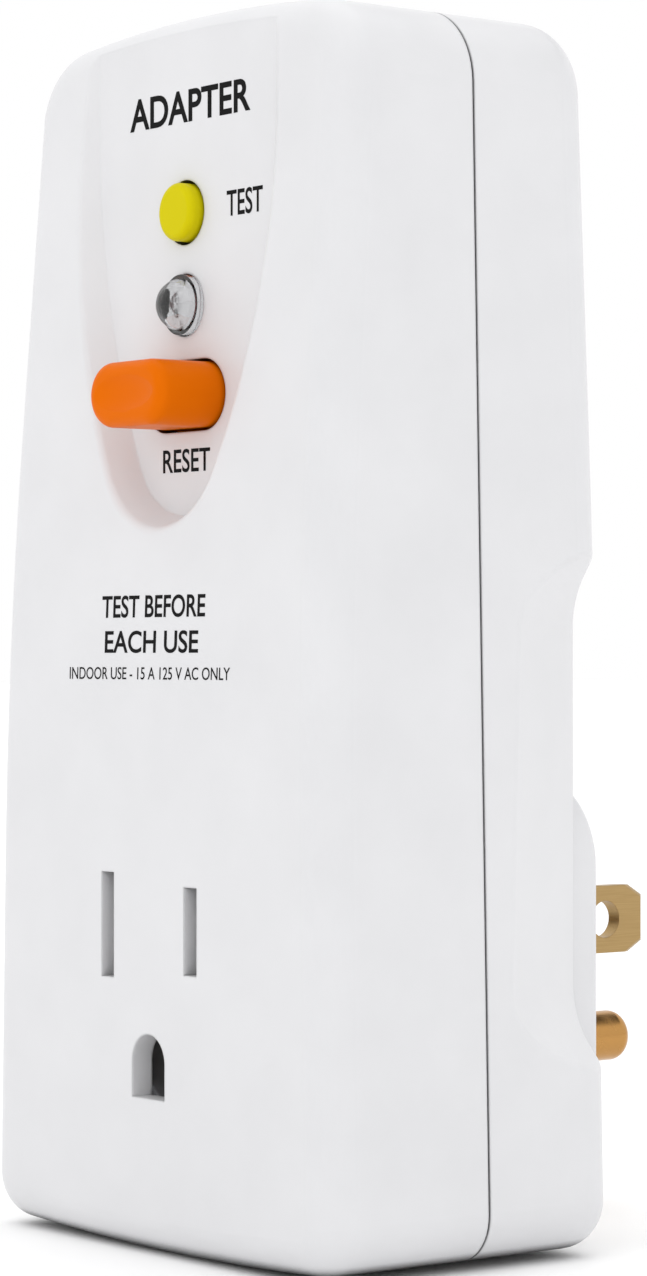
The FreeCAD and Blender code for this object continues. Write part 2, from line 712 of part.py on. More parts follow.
# ---------------------------------------------------------------- plug
def build_blade(name, side, height):
    """A flat blade with a clipped tip and a hole; its head seats inside the rear cover."""
    body = new_body(name)
    half = height / 2
    profile = side_sketch(body, "profile", side * BLADE_X)
    tip = D.blade_length
    draw_outline(profile, [
        (REAR_INNER_Y, -half), (tip - D.blade_tip, -half), (tip, -half + D.blade_clip),
        (tip, half - D.blade_clip), (tip - D.blade_tip, half), (REAR_INNER_Y, half),
        (REAR_INNER_Y, half + 1.5), (HEAD_Y, half + 1.5), (HEAD_Y, TAIL_HALF),
        (TAIL_Y, TAIL_HALF), (TAIL_Y, -TAIL_HALF), (HEAD_Y, -TAIL_HALF),
        (HEAD_Y, -half - 1.5), (REAR_INNER_Y, -half - 1.5)])
    pad(body, "blade", profile, D.blade_thickness, symmetric=True)
    dress(body, "Chamfer", "tip",
          lambda e: e.BoundBox.YMin > number(tip) - number(D.blade_tip) - 1e-6
          and not runs_along(e, X_AXIS) and e.Length > 1.0, 0.35)
    hole = side_sketch(body, "hole", side * BLADE_X)
    draw_circle(hole, tip - D.blade_hole_back, 0, D.blade_hole / 2)
    pocket(body, "hole", hole, D.blade_thickness + 1.0, symmetric=True)


def build_ground_pin():
    """A round pin with a domed end, turned with a shoulder, a head and a riveting tail."""
    body = new_body("ground_pin")
    radius = D.pin_width / 2
    straight = D.pin_length - D.pin_round
    profile = side_sketch(body, "profile", 0)
    draw_outline(profile, [
        (PIN_TAIL_Y, PIN_Z), (PIN_TAIL_Y, PIN_Z + PIN_TAIL_RADIUS), (HEAD_Y, PIN_Z + PIN_TAIL_RADIUS),
        (HEAD_Y, PIN_Z + radius + 1.6), (REAR_INNER_Y, PIN_Z + radius + 1.6),
        (REAR_INNER_Y, PIN_Z + D.pin_shoulder / 2), (0, PIN_Z + D.pin_shoulder / 2),
        (0, PIN_Z + radius), (straight, PIN_Z + radius, D.pin_round, 1),
        (D.pin_length, PIN_Z + radius - D.pin_round), (D.pin_length, PIN_Z)])
    axis = side_sketch(body, "axis", 0)
    line = axis.addGeometry(Part.LineSegment(Vector(0, PIN_Z.value, 0), Vector(10, PIN_Z.value, 0)))
    fix_point(axis, line, 1, 0, PIN_Z)
    fix_point(axis, line, 2, 10, PIN_Z)
    turned = body.newObject("PartDesign::Revolution", "ground_pin_turned")
    turned.Profile = profile
    turned.ReferenceAxis = (axis, ["Edge1"])
    turned.Angle = 360
    settle(body, "turned", True)


# ---------------------------------------------------------------- receptacle
def build_contact_block():
    """The insulating block behind the slots, with a cell for each contact."""
    solid = block("contact_block_solid", -BLOCK_HALF, BLOCK_HALF, LOWER_INNER_Y, BLOCK_BACK_Y,
                  GROUND_Z - 5.0, SLOT_Z + 6.5)
    cells = [block(f"cell_{i}", side * BLADE_X - CELL_HALF, side * BLADE_X + CELL_HALF,
                   LOWER_INNER_Y - 1.0, BLOCK_BACK_Y + 1.0, SLOT_Z - 5.2, SLOT_Z + 5.2)
             for i, side in enumerate((-1, 1))]
    cells.append(rod("cell_ground", "y", 0, LOWER_INNER_Y - 1.0, GROUND_Z, GROUND_BORE + 1.0,
                     BLOCK_BACK_Y - LOWER_INNER_Y + 2.0))
    finish(cut("contact_block_cut", solid, cells), "contact_block")


def build_line_contact(name, side):
    """A folded brass clip: two leaves that wipe the blade, a base and a riser to the board."""
    middle = side * BLADE_X
    leaf_gap = D.blade_thickness / 2 - 0.1
    parts = []
    for i, way in enumerate((-1, 1)):
        near = middle + way * leaf_gap
        far = middle + way * (leaf_gap + LEAF)
        low, high = (far, near) if way < 0 else (near, far)
        parts.append(block(f"{name}_leaf_{i}", low, high, BLOCK_BACK_Y - 9.5, BLOCK_BACK_Y + 0.1,
                           SLOT_Z - 3.4, SLOT_Z + 3.4))
    outer = side * (BLADE_X + 3.2)
    inner = side * (BLADE_X - 3.2)
    riser = side * (BLADE_X + 6.2)
    low, high = (riser, inner) if side < 0 else (inner, riser)
    parts.append(block(name + "_base", low, high, BLOCK_BACK_Y, BLOCK_BACK_Y + LEAF,
                       SLOT_Z - 3.4, SLOT_Z + 3.4))
    low, high = (riser, outer) if side < 0 else (outer, riser)
    parts.append(block(name + "_riser", low, high, BLOCK_BACK_Y, BLOCK_BACK_Y + LEAF,
                       SLOT_Z + 3.4, BOARD_BOTTOM + 3.0))
    parts.append(block(name + "_foot", low, high, BLOCK_BACK_Y, BOARD_FRONT_Y,
                       BOARD_BOTTOM + 3.0, BOARD_BOTTOM + 3.0 + LEAF))
    finish(join(name + "_join", parts), name)


def build_ground_contact():
    """A split spring tube that grips a round ground pin, on a square base."""
    length = 8.6
    sleeve = tube("ground_sleeve", "y", 0, BLOCK_BACK_Y - length, GROUND_Z,
                  GROUND_BORE + LEAF, GROUND_BORE, length + 0.1)
    slit = block("ground_slit", -0.4, 0.4, BLOCK_BACK_Y - length - 1.0, BLOCK_BACK_Y - 2.0,
                 GROUND_Z + 1.0, GROUND_Z + 5.0)
    base = block("ground_base", -3.6, 3.6, BLOCK_BACK_Y, BLOCK_BACK_Y + LEAF,
                 GROUND_Z - 3.6, GROUND_Z + 3.6)
    finish(join("ground_contact_join", [cut("ground_split", sleeve, [slit]), base]), "ground_contact")


def build_ground_strap():
    """A bent strip that bonds the ground contact to the ground pin's tail."""
    web_low = PIN_Z - 4.6
    front = block("strap_front", -3.0, 3.0, BLOCK_BACK_Y + LEAF, BLOCK_BACK_Y + LEAF * 2,
                  web_low, GROUND_Z + 2.0)
    web = block("strap_web", -3.0, 3.0, BLOCK_BACK_Y + LEAF, HEAD_Y, web_low, web_low + LEAF)
    rear = block("strap_rear", -3.0, 3.0, HEAD_Y - LEAF, HEAD_Y, web_low, PIN_Z + 3.0)
    hole = rod("strap_hole", "y", 0, HEAD_Y - LEAF - 1.0, PIN_Z, PIN_TAIL_RADIUS + 0.05, LEAF + 2.0)
    finish(cut("ground_strap_cut", join("strap_bent", [front, web, rear]), [hole]), "ground_strap")


def build_bus(name, side):
    """A strip from a blade's tail up to the board's front face."""
    low = side * BLADE_X - D.blade_thickness / 2
    high = side * BLADE_X + D.blade_thickness / 2
    bar = block(name + "_bar", low, high, TAIL_Y - 1.4, TAIL_Y, -TAIL_HALF, BOARD_BOTTOM + 6.0)
    foot = block(name + "_foot", low, high, TAIL_Y - 1.4, BOARD_FRONT_Y,
                 BOARD_BOTTOM + 1.5, BOARD_BOTTOM + 6.0)
    finish(join(name + "_join", [bar, foot]), name)


def build_insulator_plate():
    """Keeps the line strips apart from the contacts' bases."""
    finish(block("insulator", -BLOCK_HALF, BLOCK_HALF, TAIL_Y - 2.6, TAIL_Y - 1.8,
                 GROUND_Z + 4.4, BOARD_BOTTOM + 2.0), "insulator_plate")


def build_sensor():
    """A ring-shaped cup round both blade tails, with the two current-sensing cores in it."""
    y = SENSOR_Y
    outer = rod("sensor_outer", "y", 0, y, 0, SENSOR_OUTER, SENSOR_LENGTH)
    bore = rod("sensor_bore", "y", 0, y - 1.0, 0, SENSOR_BORE, SENSOR_LENGTH + 2.0)
    trough = tube("sensor_trough", "y", 0, y - 1.0, 0, SENSOR_OUTER - 0.8, SENSOR_BORE + 0.8,
                  SENSOR_LENGTH + 0.2)
    finish(cut("sensor_cup", outer, [bore, trough]), "sensor_housing")
    depth = (SENSOR_LENGTH - 1.4) / 2
    for i, name in enumerate(("sensing_core", "neutral_core")):
        ring = tube(name + "_ring", "y", 0, y + 0.2 + i * (depth + 0.2), 0,
                    SENSOR_OUTER - 1.0, SENSOR_BORE + 1.0, depth)
        finish(ring, name)


# ---------------------------------------------------------------- board and its parts
def build_board():
    """A stepped board, cut back at the top for the screw towers, with a hole for the reset stem."""
    wide = block("board_wide", -D.board_half, D.board_half, BOARD_FRONT_Y, BOARD_BACK_Y,
                 BOARD_BOTTOM, BOARD_STEP)
    neck = block("board_neck_part", -BOARD_NECK, BOARD_NECK, BOARD_FRONT_Y, BOARD_BACK_Y,
                 BOARD_STEP, D.board_top)
    hole = rod("board_hole", "y", 0, BOARD_FRONT_Y - 1.0, D.reset_z, D.stem_radius + D.loose_gap,
               D.board_thickness + 2.0)
    finish(cut("board_cut", join("board_blank", [wide, neck]), [hole]), "circuit_board")


def on_board(height):
    """The front-face level that stands the given height off the board."""
    return BOARD_FRONT_Y - height


def build_components():
    disc = rod("varistor_disc", "x", -15.0, on_board(6.0), 30.0, 4.6, 3.6)
    leads = [block(f"varistor_lead_{i}", -13.6, -13.0, on_board(2.2), BOARD_FRONT_Y, z, z + 0.7)
             for i, z in enumerate((27.4, 31.9))]
    finish(join("varistor_join", [disc] + leads), "varistor")
    box = block("film_box", 10.5, 15.5, on_board(PART_ROOM - 2.4), BOARD_FRONT_Y, 23.0, 36.0)
    finish(box, "film_capacitor")
    can = rod("can_body", "y", 12.5, on_board(PART_ROOM - 1.8), 45.0, 3.9, PART_ROOM - 1.8)
    finish(can, "electrolytic_capacitor")
    chip = block("chip_body", -15.0, -11.0, on_board(1.8), on_board(0.2), 39.0, 44.0)
    legs = [block(f"chip_leg_{i}_{k}", x, x + 1.2, on_board(0.5), BOARD_FRONT_Y,
                  39.3 + k * 1.27, 39.75 + k * 1.27)
            for i, x in enumerate((-15.9, -11.3)) for k in range(4)]
    finish(join("chip_join", [chip] + legs), "control_chip")
    round_part = rod("thyristor_round", "y", -13.0, on_board(6.0), 51.0, 2.4, 4.6)
    flat = block("thyristor_flat", -16.0, -10.0, on_board(7.0), on_board(0.5), 52.4, 55.0)
    pins = [block(f"thyristor_pin_{i}", x, x + 0.45, on_board(1.6), BOARD_FRONT_Y, 50.5, 50.95)
            for i, x in enumerate((-14.5, -13.2, -11.9))]
    finish(join("thyristor_join", [cut("thyristor_body", round_part, [flat])] + pins), "thyristor")
    finish(group("resistor_group", [axial(f"resistor_{i}", -14.0 + i * 3.0, 59.0, 1.0, 5.6)
                                    for i in range(3)]), "resistors")
    finish(group("diode_group", [axial(f"diode_{i}", 8.6 + i * 3.2, 53.0, 1.2, 4.2)
                                 for i in range(4)]), "diodes")
    finish(rod("test_pad", "y", 0, BOARD_FRONT_Y - 1.5, D.test_z, 1.1, 1.5), "test_contact")


def axial(name, x, z, radius, length):
    """A leaded part lying along the board, upright in Z."""
    barrel = rod(name + "_barrel", "z", x, on_board(radius + 0.3), z, radius, length)
    lead = rod(name + "_lead", "z", x, on_board(radius + 0.3), z - 1.6, 0.3, length + 3.2)
    feet = [block(f"{name}_foot_{i}", x - 0.35, x + 0.35, on_board(radius + 0.3), BOARD_FRONT_Y,
                  at - 0.35, at + 0.35) for i, at in enumerate((z - 1.6, z + length + 1.6))]
    return join(name + "_join", [barrel, lead] + feet)


# ---------------------------------------------------------------- trip mechanism
def build_contact_carrier():
    """A bar that slides on two posts and carries the bridging contacts."""
    bar = block("carrier_bar", -CARRIER_HALF, CARRIER_HALF, CARRIER_Y, CARRIER_Y + CARRIER_DEPTH,
                CARRIER_LOW, CARRIER_HIGH)
    holes = [rod("carrier_stem_hole", "y", 0, CARRIER_Y - 1.0, D.reset_z,
                 D.stem_radius + D.loose_gap, CARRIER_DEPTH + 2.0)]
    for i, side in enumerate((-1, 1)):
        holes.append(rod(f"carrier_post_hole_{i}", "y", side * POST_X, CARRIER_Y - 1.0, POST_Z,
                         D.post_radius + D.running_gap * 0.8, CARRIER_DEPTH + 2.0))
    finish(cut("carrier_cut", bar, holes), "contact_carrier")
    strips = []
    for i, side in enumerate((-1, 1)):
        low, high = sorted((side * 6.5, side * 15.5))
        parts = [block(f"bridge_{i}", low, high, CARRIER_Y - 0.4, CARRIER_Y,
                       CARRIER_LOW + 0.4, CARRIER_LOW + 3.0)]
        parts += [rod(f"bridge_{i}_{k}", "y", side * x, CARRIER_Y - 0.7, CARRIER_LOW + 1.7, 1.1, 0.4)
                  for k, x in enumerate((8.0, 14.0))]
        strips.append(join(f"bridge_join_{i}", parts))
    finish(group("bridge_pair", strips), "contact_bridges")
    finish(group("fixed_pads", [
        rod(f"fixed_pad_{i}", "y", x, BOARD_BACK_Y, CARRIER_LOW + 1.7, 1.3, 0.4)
        for i, x in enumerate((-14.0, -8.0, 8.0, 14.0))]), "fixed_contacts")
    finish(group("carrier_spring_pair", [
        coil_spring(f"carrier_spring_{i}", "y", side * POST_X, BOARD_BACK_Y, POST_Z,
                    D.post_radius + 0.55, 0.3, CARRIER_Y - BOARD_BACK_Y, 3)
        for i, side in enumerate((-1, 1))]), "carrier_springs")


def build_solenoid():
    """A trip solenoid with its axis upright: steel frame, wound bobbin, plunger and latch plate."""
    y = SOLENOID_Y
    bore = D.plunger_radius + D.running_gap * 0.8
    web = block("frame_web", -5.0, 5.0, BOARD_BACK_Y, BOARD_BACK_Y + 1.0, FRAME_LOW, FRAME_HIGH)
    foot = block("frame_foot", -5.0, 5.0, BOARD_BACK_Y, y + 4.0, FRAME_LOW, FRAME_LOW + 1.0)
    cap = block("frame_cap", -5.0, 5.0, BOARD_BACK_Y, y + 4.0, FRAME_HIGH - 1.0, FRAME_HIGH)
    hole = rod("frame_hole", "z", 0, y, FRAME_LOW - 1.0, bore, 3.0)
    finish(cut("frame_cut", join("frame_bent", [web, foot, cap]), [hole]), "solenoid_frame")
    low = FRAME_LOW + 1.0
    length = FRAME_HIGH - FRAME_LOW - 2.0
    core = rod("bobbin_core", "z", 0, y, low, bore + 0.6, length)
    ends = [rod(f"bobbin_end_{i}", "z", 0, y, z, 4.0, 0.7)
            for i, z in enumerate((low, FRAME_HIGH - 1.7))]
    opening = rod("bobbin_opening", "z", 0, y, low - 1.0, bore, length + 2.0)
    finish(cut("bobbin_cut", join("bobbin_blank", [core] + ends), [opening]), "solenoid_bobbin")
    finish(tube("winding", "z", 0, y, low + 0.8, 3.8, bore + 0.65, length - 1.6), "solenoid_coil")
    shaft = rod("plunger_shaft", "z", 0, y, TAB_HIGH, D.plunger_radius, FRAME_HIGH - 4.0 - TAB_HIGH)
    neck = rod("plunger_neck", "z", 0, y, TAB_LOW - 0.4, 1.0, 1.0 + TAB_HIGH - TAB_LOW)
    finish(join("plunger_join", [shaft, neck]), "solenoid_plunger")
    plate = block("latch_flat", -4.0, 4.0, LATCH_Y, LATCH_Y + 0.8, D.reset_z - 6.0, TAB_HIGH)
    tab = block("latch_tab", -3.2, 3.2, y - 2.6, LATCH_Y + 0.1, TAB_LOW, TAB_HIGH)
    window = D.stem_radius + D.loose_gap
    slot = [rod("latch_window", "y", 0, LATCH_Y - 1.0, D.reset_z, window, 3.0),
            rod("latch_window_low", "y", 0, LATCH_Y - 1.0, D.reset_z - D.plunger_travel, window, 3.0),
            block("latch_window_side", -window, window, LATCH_Y - 1.0, LATCH_Y + 2.0,
                  D.reset_z - D.plunger_travel, D.reset_z),
            rod("latch_neck_hole", "z", 0, y, TAB_LOW - 1.0, 1.05, 3.0)]
    finish(cut("latch_cut", join("latch_blank", [plate, tab]), slot), "latch_plate")
    finish(coil_spring("plunger_spring", "z", 0, y, TAB_HIGH, D.plunger_radius + 0.65, 0.4,
                       FRAME_LOW - TAB_HIGH, 4), "plunger_spring")


# ---------------------------------------------------------------- buttons and lamp
def cut_dish(body):
    """A shallow oval hollow for the fingertip in the reset cap's face."""
    ball = body.newObject("PartDesign::SubtractiveEllipsoid", "reset_button_dish")
    # a slice of the ball this deep is 0.714 of the ball's width across
    share = 0.714
    thick = D.dish_depth / 0.3
    ball.setExpression("Radius1", formula((D.reset_height / 2 - D.cap_round - 0.2) / share))
    ball.setExpression("Radius2", formula((D.reset_width / 2 - D.cap_round - 0.2) / share))
    ball.setExpression("Radius3", formula(thick))
    ball.setExpression("Placement.Base.y",
                       formula(FLOOR_Y - D.reset_proud - thick * 0.7))
    ball.setExpression("Placement.Base.z", formula(D.reset_z))
    settle(body, "dish", False)


def build_reset_button():
    """A wide button with a dished cap, a retaining flange and a notched stem for the latch."""
    body = new_body("reset_button")
    cap = facing_sketch(body, "cap", FLANGE_Y)
    stadium(cap, 0, D.reset_z, D.reset_width / 2, D.reset_height / 2)
    pad(body, "cap", cap, FLANGE_Y - FLOOR_Y + D.reset_proud)
    cap_y = number(FLOOR_Y - D.reset_proud)
    dress(body, "Fillet", "cap_edge", lambda e: e.BoundBox.YMax < cap_y + 1e-3, D.cap_round)
    cut_dish(body)
    flange = facing_sketch(body, "flange", FLANGE_Y + D.flange_thickness)
    stadium(flange, 0, D.reset_z, D.reset_width / 2 + D.flange_lip, D.reset_height / 2 + D.flange_lip)
    pad(body, "flange", flange, D.flange_thickness)
    stem = facing_sketch(body, "stem", STEM_END_Y)
    draw_circle(stem, 0, D.reset_z, D.stem_radius)
    pad(body, "stem", stem, STEM_END_Y - FLANGE_Y - D.flange_thickness)
    notch = body.newObject("PartDesign::Groove", "reset_button_notch")
    profile = side_sketch(body, "notch", 0)
    rectangle(profile, STEM_END_Y - 2.1, STEM_END_Y - 1.1,
              D.reset_z + D.stem_radius - 0.6, D.reset_z + D.stem_radius + 1.0)
    axis = side_sketch(body, "axis", 0)
    line = axis.addGeometry(
        Part.LineSegment(Vector(0, D.reset_z.value, 0), Vector(10, D.reset_z.value, 0)))
    fix_point(axis, line, 1, 0, D.reset_z)
    fix_point(axis, line, 2, 10, D.reset_z)
    notch.Profile = profile
    notch.ReferenceAxis = (axis, ["Edge1"])
    notch.Angle = 360
    settle(body, "notch", False)
    finish(coil_spring("reset_spring", "y", 0, FLANGE_Y + D.flange_thickness, D.reset_z,
                       D.stem_radius + 0.9, 0.5,
                       BOARD_FRONT_Y - FLANGE_Y - D.flange_thickness, 6), "reset_spring")


def build_test_button():
    """A small round button with a flange and a stem that closes the test contact."""
    body = new_body("test_button")
    cap = facing_sketch(body, "cap", FLANGE_Y)
    draw_circle(cap, 0, D.test_z, D.test_width / 2)
    pad(body, "cap", cap, FLANGE_Y - FLOOR_Y + D.test_proud)
    cap_y = number(FLOOR_Y - D.test_proud)
    dress(body, "Fillet", "cap_edge", lambda e: e.BoundBox.YMax < cap_y + 1e-3, 0.6)
    flange = facing_sketch(body, "flange", FLANGE_Y + D.flange_thickness)
    draw_circle(flange, 0, D.test_z, D.test_width / 2 + 1.0)
    pad(body, "flange", flange, D.flange_thickness)
    stem = facing_sketch(body, "stem", TEST_STEM_END_Y)
    draw_circle(stem, 0, D.test_z, 1.2)
    pad(body, "stem", stem, TEST_STEM_END_Y - FLANGE_Y - D.flange_thickness)
    finish(coil_spring("test_spring", "y", 0, FLANGE_Y + D.flange_thickness, D.test_z, 2.0, 0.4,
                       BOARD_FRONT_Y - FLANGE_Y - D.flange_thickness, 7), "test_spring")


def build_lamp():
    """A clear domed lens held by a flange behind the wall, over a lamp on two legs."""
    body = new_body("indicator_lens")
    radius = D.lamp_width / 2
    proud = D.lamp_proud
    dome = proud - 0.6
    dome_half = radius - 0.35
    dome_radius = (dome_half * dome_half + dome * dome) / (dome * 2)
    inner = radius - 0.8
    profile = side_sketch(body, "profile", 0)
    z = D.lamp_z
    draw_outline(profile, [
        (FLOOR_Y - proud, z, dome_radius, 1), (FLOOR_Y - 0.6, z + dome_half),
        (FLOOR_Y - 0.6, z + radius), (UPPER_INNER_Y, z + radius), (UPPER_INNER_Y, z + radius + 0.9),
        (UPPER_INNER_Y + 1.0, z + radius + 0.9), (UPPER_INNER_Y + 1.0, z + inner),
        (FLOOR_Y + 0.6, z + inner), (FLOOR_Y + 0.6, z)])
    axis = side_sketch(body, "axis", 0)
    line = axis.addGeometry(Part.LineSegment(Vector(0, z.value, 0), Vector(10, z.value, 0)))
    fix_point(axis, line, 1, 0, z)
    fix_point(axis, line, 2, 10, z)
    turned = body.newObject("PartDesign::Revolution", "indicator_lens_turned")
    turned.Profile = profile
    turned.ReferenceAxis = (axis, ["Edge1"])
    turned.Angle = 360
    settle(body, "turned", True)
    bulb_y = FLOOR_Y + 1.0
    bulb = rod("led_body", "y", 0, bulb_y + 1.5, z, 1.5, 4.0)
    nose = doc.addObject("Part::Sphere", "led_nose")
    nose.Radius = 1.5
    place(nose, 0, bulb_y + 1.5, z)
    rim = rod("led_rim", "y", 0, bulb_y + 5.0, z, 1.75, 0.5)
    legs = [block(f"led_leg_{i}", x - 0.25, x + 0.25, bulb_y + 5.4, BOARD_FRONT_Y, z - 0.25, z + 0.25)
            for i, x in enumerate((-0.9, 0.9))]
    finish(join("led_join", [bulb, nose, rim] + legs), "indicator_lamp")


def build_screws():
    """Four case screws, entered from the rear."""
    screws = []
    for i, (x, z) in enumerate(screw_places()):
        head = rod(f"screw_head_{i}", "y", x, SCREW_SEAT_Y, z, D.screw_head, 1.6)
        shank = rod(f"screw_shank_{i}", "y", x, SEAM_Y - 9.0, z, D.screw_radius,
                    SCREW_SEAT_Y - SEAM_Y + 9.0)
        cross = [block(f"screw_cross_{i}_{k}", x - w, x + w, SCREW_SEAT_Y + 0.7, SCREW_SEAT_Y + 2.0,
                       z - t, z + t) for k, (w, t) in enumerate(((1.5, 0.25), (0.25, 1.5)))]
        screws.append(cut(f"screw_{i}", join(f"screw_blank_{i}", [head, shank]), cross))
    finish(group("screw_set", screws), "case_screws")


def check_and_write():
    doc.recompute()
    failed = [item.Name for item in doc.Objects if {"Invalid", "Error"} & set(item.State)]
    if failed:
        raise RuntimeError(f"failed features: {failed}")
    os.makedirs("parts", exist_ok=True)
    for piece in pieces:
        if piece.Shape.isNull() or not piece.Shape.isValid() or not piece.Shape.Solids:
            raise RuntimeError(f"{piece.Label} has no valid solid")
        piece.Shape.exportStep(f"parts/{piece.Label}.step")
        print(piece.Label, len(piece.Shape.Solids), f"{piece.Shape.Volume:.1f}")


build_front_cover()
build_rear_cover()
build_blade("hot_blade", 1, D.hot_height)
build_blade("neutral_blade", -1, D.neutral_height)
build_ground_pin()
build_contact_block()
build_line_contact("hot_contact", 1)
build_line_contact("neutral_contact", -1)
build_ground_contact()
build_ground_strap()
build_bus("hot_bus", 1)
build_bus("neutral_bus", -1)
build_insulator_plate()
build_sensor()
build_board()
build_components()
build_contact_carrier()
build_solenoid()
build_reset_button()
build_test_button()
build_lamp()
build_screws()
check_and_write()
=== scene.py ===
import math

import bpy
from bpy.props import FloatProperty, FloatVectorProperty, PointerProperty, StringProperty
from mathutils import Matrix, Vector


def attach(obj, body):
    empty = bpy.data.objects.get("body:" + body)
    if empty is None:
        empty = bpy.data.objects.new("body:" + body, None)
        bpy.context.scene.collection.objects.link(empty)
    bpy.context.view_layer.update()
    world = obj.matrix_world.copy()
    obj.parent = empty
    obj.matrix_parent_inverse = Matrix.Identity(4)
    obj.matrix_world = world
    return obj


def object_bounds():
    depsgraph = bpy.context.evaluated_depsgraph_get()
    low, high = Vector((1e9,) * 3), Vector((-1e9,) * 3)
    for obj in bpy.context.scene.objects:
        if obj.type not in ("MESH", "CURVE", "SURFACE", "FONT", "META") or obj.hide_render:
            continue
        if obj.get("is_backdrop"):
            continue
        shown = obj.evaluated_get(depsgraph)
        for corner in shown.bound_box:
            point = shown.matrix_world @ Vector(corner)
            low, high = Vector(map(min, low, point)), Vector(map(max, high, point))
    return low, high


# Finishes, printing and a studio stage for a plug-in ground-fault adapter.
# Metres, in the CAD frame: +Y points into the wall, +Z up, +X to the right seen from the front.

bl_info = {
    "name": "Ground-fault adapter looks",
    "version": (1, 0, 0),
    "blender": (4, 5, 0),
    "location": "3D View > Sidebar > Adapter",
    "description": "Finishes, printing and studio stage for a plug-in ground-fault adapter",
    "category": "Object",
}

MM = 0.001
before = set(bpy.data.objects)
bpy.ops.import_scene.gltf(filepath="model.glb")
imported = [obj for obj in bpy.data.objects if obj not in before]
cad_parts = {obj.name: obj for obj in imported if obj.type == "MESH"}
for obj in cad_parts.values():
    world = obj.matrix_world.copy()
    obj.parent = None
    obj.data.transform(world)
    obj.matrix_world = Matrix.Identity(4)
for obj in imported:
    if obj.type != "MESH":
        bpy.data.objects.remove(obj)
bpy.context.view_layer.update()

# Each printed line: piece name, setting with its words, left and right end and middle height in
# the CAD frame, letter height, and how far the strokes are thickened as a share of the font size.
# Lengths in millimetres.
PRINTED_LINES = (
    ("print_wordmark", "wordmark", -8.6, 9.8, 73.9, 2.9, 0.02),
    ("print_test", "test_word", 6.3, 11.6, 64.6, 2.3, 0.012),
    ("print_reset", "reset_word", -3.4, 3.8, 42.3, 2.1, 0.012),
    ("print_rating_top", "rating_top", -7.9, 8.0, 29.3, 2.0, 0.015),
    ("print_rating_middle", "rating_middle", -7.3, 7.1, 26.15, 2.0, 0.015),
    ("print_rating_low", "rating_low", -12.85, 11.9, 23.35, 1.1, 0.004),
)
# The search for the face under a letter starts here, in front of everything.
PROBE_START = -60 * MM

# Each softbox: name, where it stands, its width in metres and its power in watts.
SOFTBOXES = (
    ("key", (0.35, -0.75, 0.75), 0.6, 0.5),
    ("top", (-0.1, 0.1, 0.9), 0.7, 0.9),
)
SOFTBOX_AIM = (0, -0.02, 0.03)
# How much weaker and stronger than the room's light the glow is straight below and above.
FLOOR_GLOW = 0.06
CEILING_GLOW = 0.2
# The black flag's sides, and the (Y, Z) of its near and far edge.
FLAG_LEFT = -0.25
FLAG_RIGHT = 0.35
FLAG_NEAR_EDGE = (0.27, 0.40)
FLAG_FAR_EDGE = (0.36, 0.33)
FLOOR_GAP = 0.02 * MM
# The camera's sensor width is in millimetres and its near limit in metres.
SENSOR_WIDTH = 36.0
CLIP_START = 0.01


def paint(hex_colour):
    """An sRGB hex colour as a linear colour with full alpha."""
    channels = [int(hex_colour[i:i + 2], 16) / 255 for i in (0, 2, 4)]
    linear = [c / 12.92 if c <= 0.04045 else ((c + 0.055) / 1.055) ** 2.4 for c in channels]
    return (*linear, 1.0)


# ---------------------------------------------------------------- settings
class ADAPTER_PG_finish(bpy.types.PropertyGroup):
    case_colour: FloatVectorProperty(
        name="Case colour", description="The case's moulded white, in its duller patches",
        default=paint("d5d5d7"), size=4, min=0, max=1, subtype="COLOR")
    case_bright: FloatVectorProperty(
        name="Case colour, brighter", description="The case's moulded white, in its brighter patches",
        default=paint("d9d9db"), size=4, min=0, max=1, subtype="COLOR")
    # Painted shade: the dark grey that the case colour is mixed toward deep inside slots and gaps, where
    # little light gets in.
    painted_cavity_shade: FloatVectorProperty(
        name="Cavity colour", description="The case's colour deep inside slots and gaps",
        default=paint("404042"), size=4, min=0, max=1, subtype="COLOR")
    reset_colour: FloatVectorProperty(
        name="RESET colour", description="Colour of the RESET button",
        default=paint("dc6800"), size=4, min=0, max=1, subtype="COLOR")
    test_colour: FloatVectorProperty(
        name="TEST colour", description="Colour of the TEST button",
        default=paint("ccc008"), size=4, min=0, max=1, subtype="COLOR")
    edge_softness: FloatProperty(
        name="Edge softness", description="Radius of the soft highlight along moulded edges",
        default=0.35 * MM, unit="LENGTH", precision=5)
    case_roughness: FloatProperty(
        name="Case roughness", description="How matt the moulded case is",
        default=0.42, min=0, max=1, subtype="FACTOR")
    # How near the walls of a gap have to be for the painted shade to darken it.
    cavity_reach: FloatProperty(
        name="Cavity reach", description="How near the walls of a gap have to be to darken it",
        default=3.0 * MM, unit="LENGTH", precision=5)
    grain_size: FloatProperty(
        name="Grain size", description="Size of the spark-eroded grain on the case",
        default=0.35 * MM, unit="LENGTH", precision=5)


class ADAPTER_PG_print(bpy.types.PropertyGroup):
    wordmark: StringProperty(
        name="Wordmark", description="Generic word printed above the buttons", default="ADAPTER")
    test_word: StringProperty(
        name="TEST word", description="Word beside the round button", default="TEST")
    reset_word: StringProperty(
        name="RESET word", description="Word below the wide button", default="RESET")
    rating_top: StringProperty(
        name="Rating, first line", description="First line over the receptacle",
        default="TEST BEFORE")
    rating_middle: StringProperty(
        name="Rating, second line", description="Second line over the receptacle",
        default="EACH USE")
    rating_low: StringProperty(
        name="Rating, small line", description="Small line over the receptacle",
        default="INDOOR USE - 15 A 125 V AC ONLY")
    ink_height: FloatProperty(
        name="Ink height", description="How far the printing stands off the plastic",
        default=0.02 * MM, unit="LENGTH", precision=6)


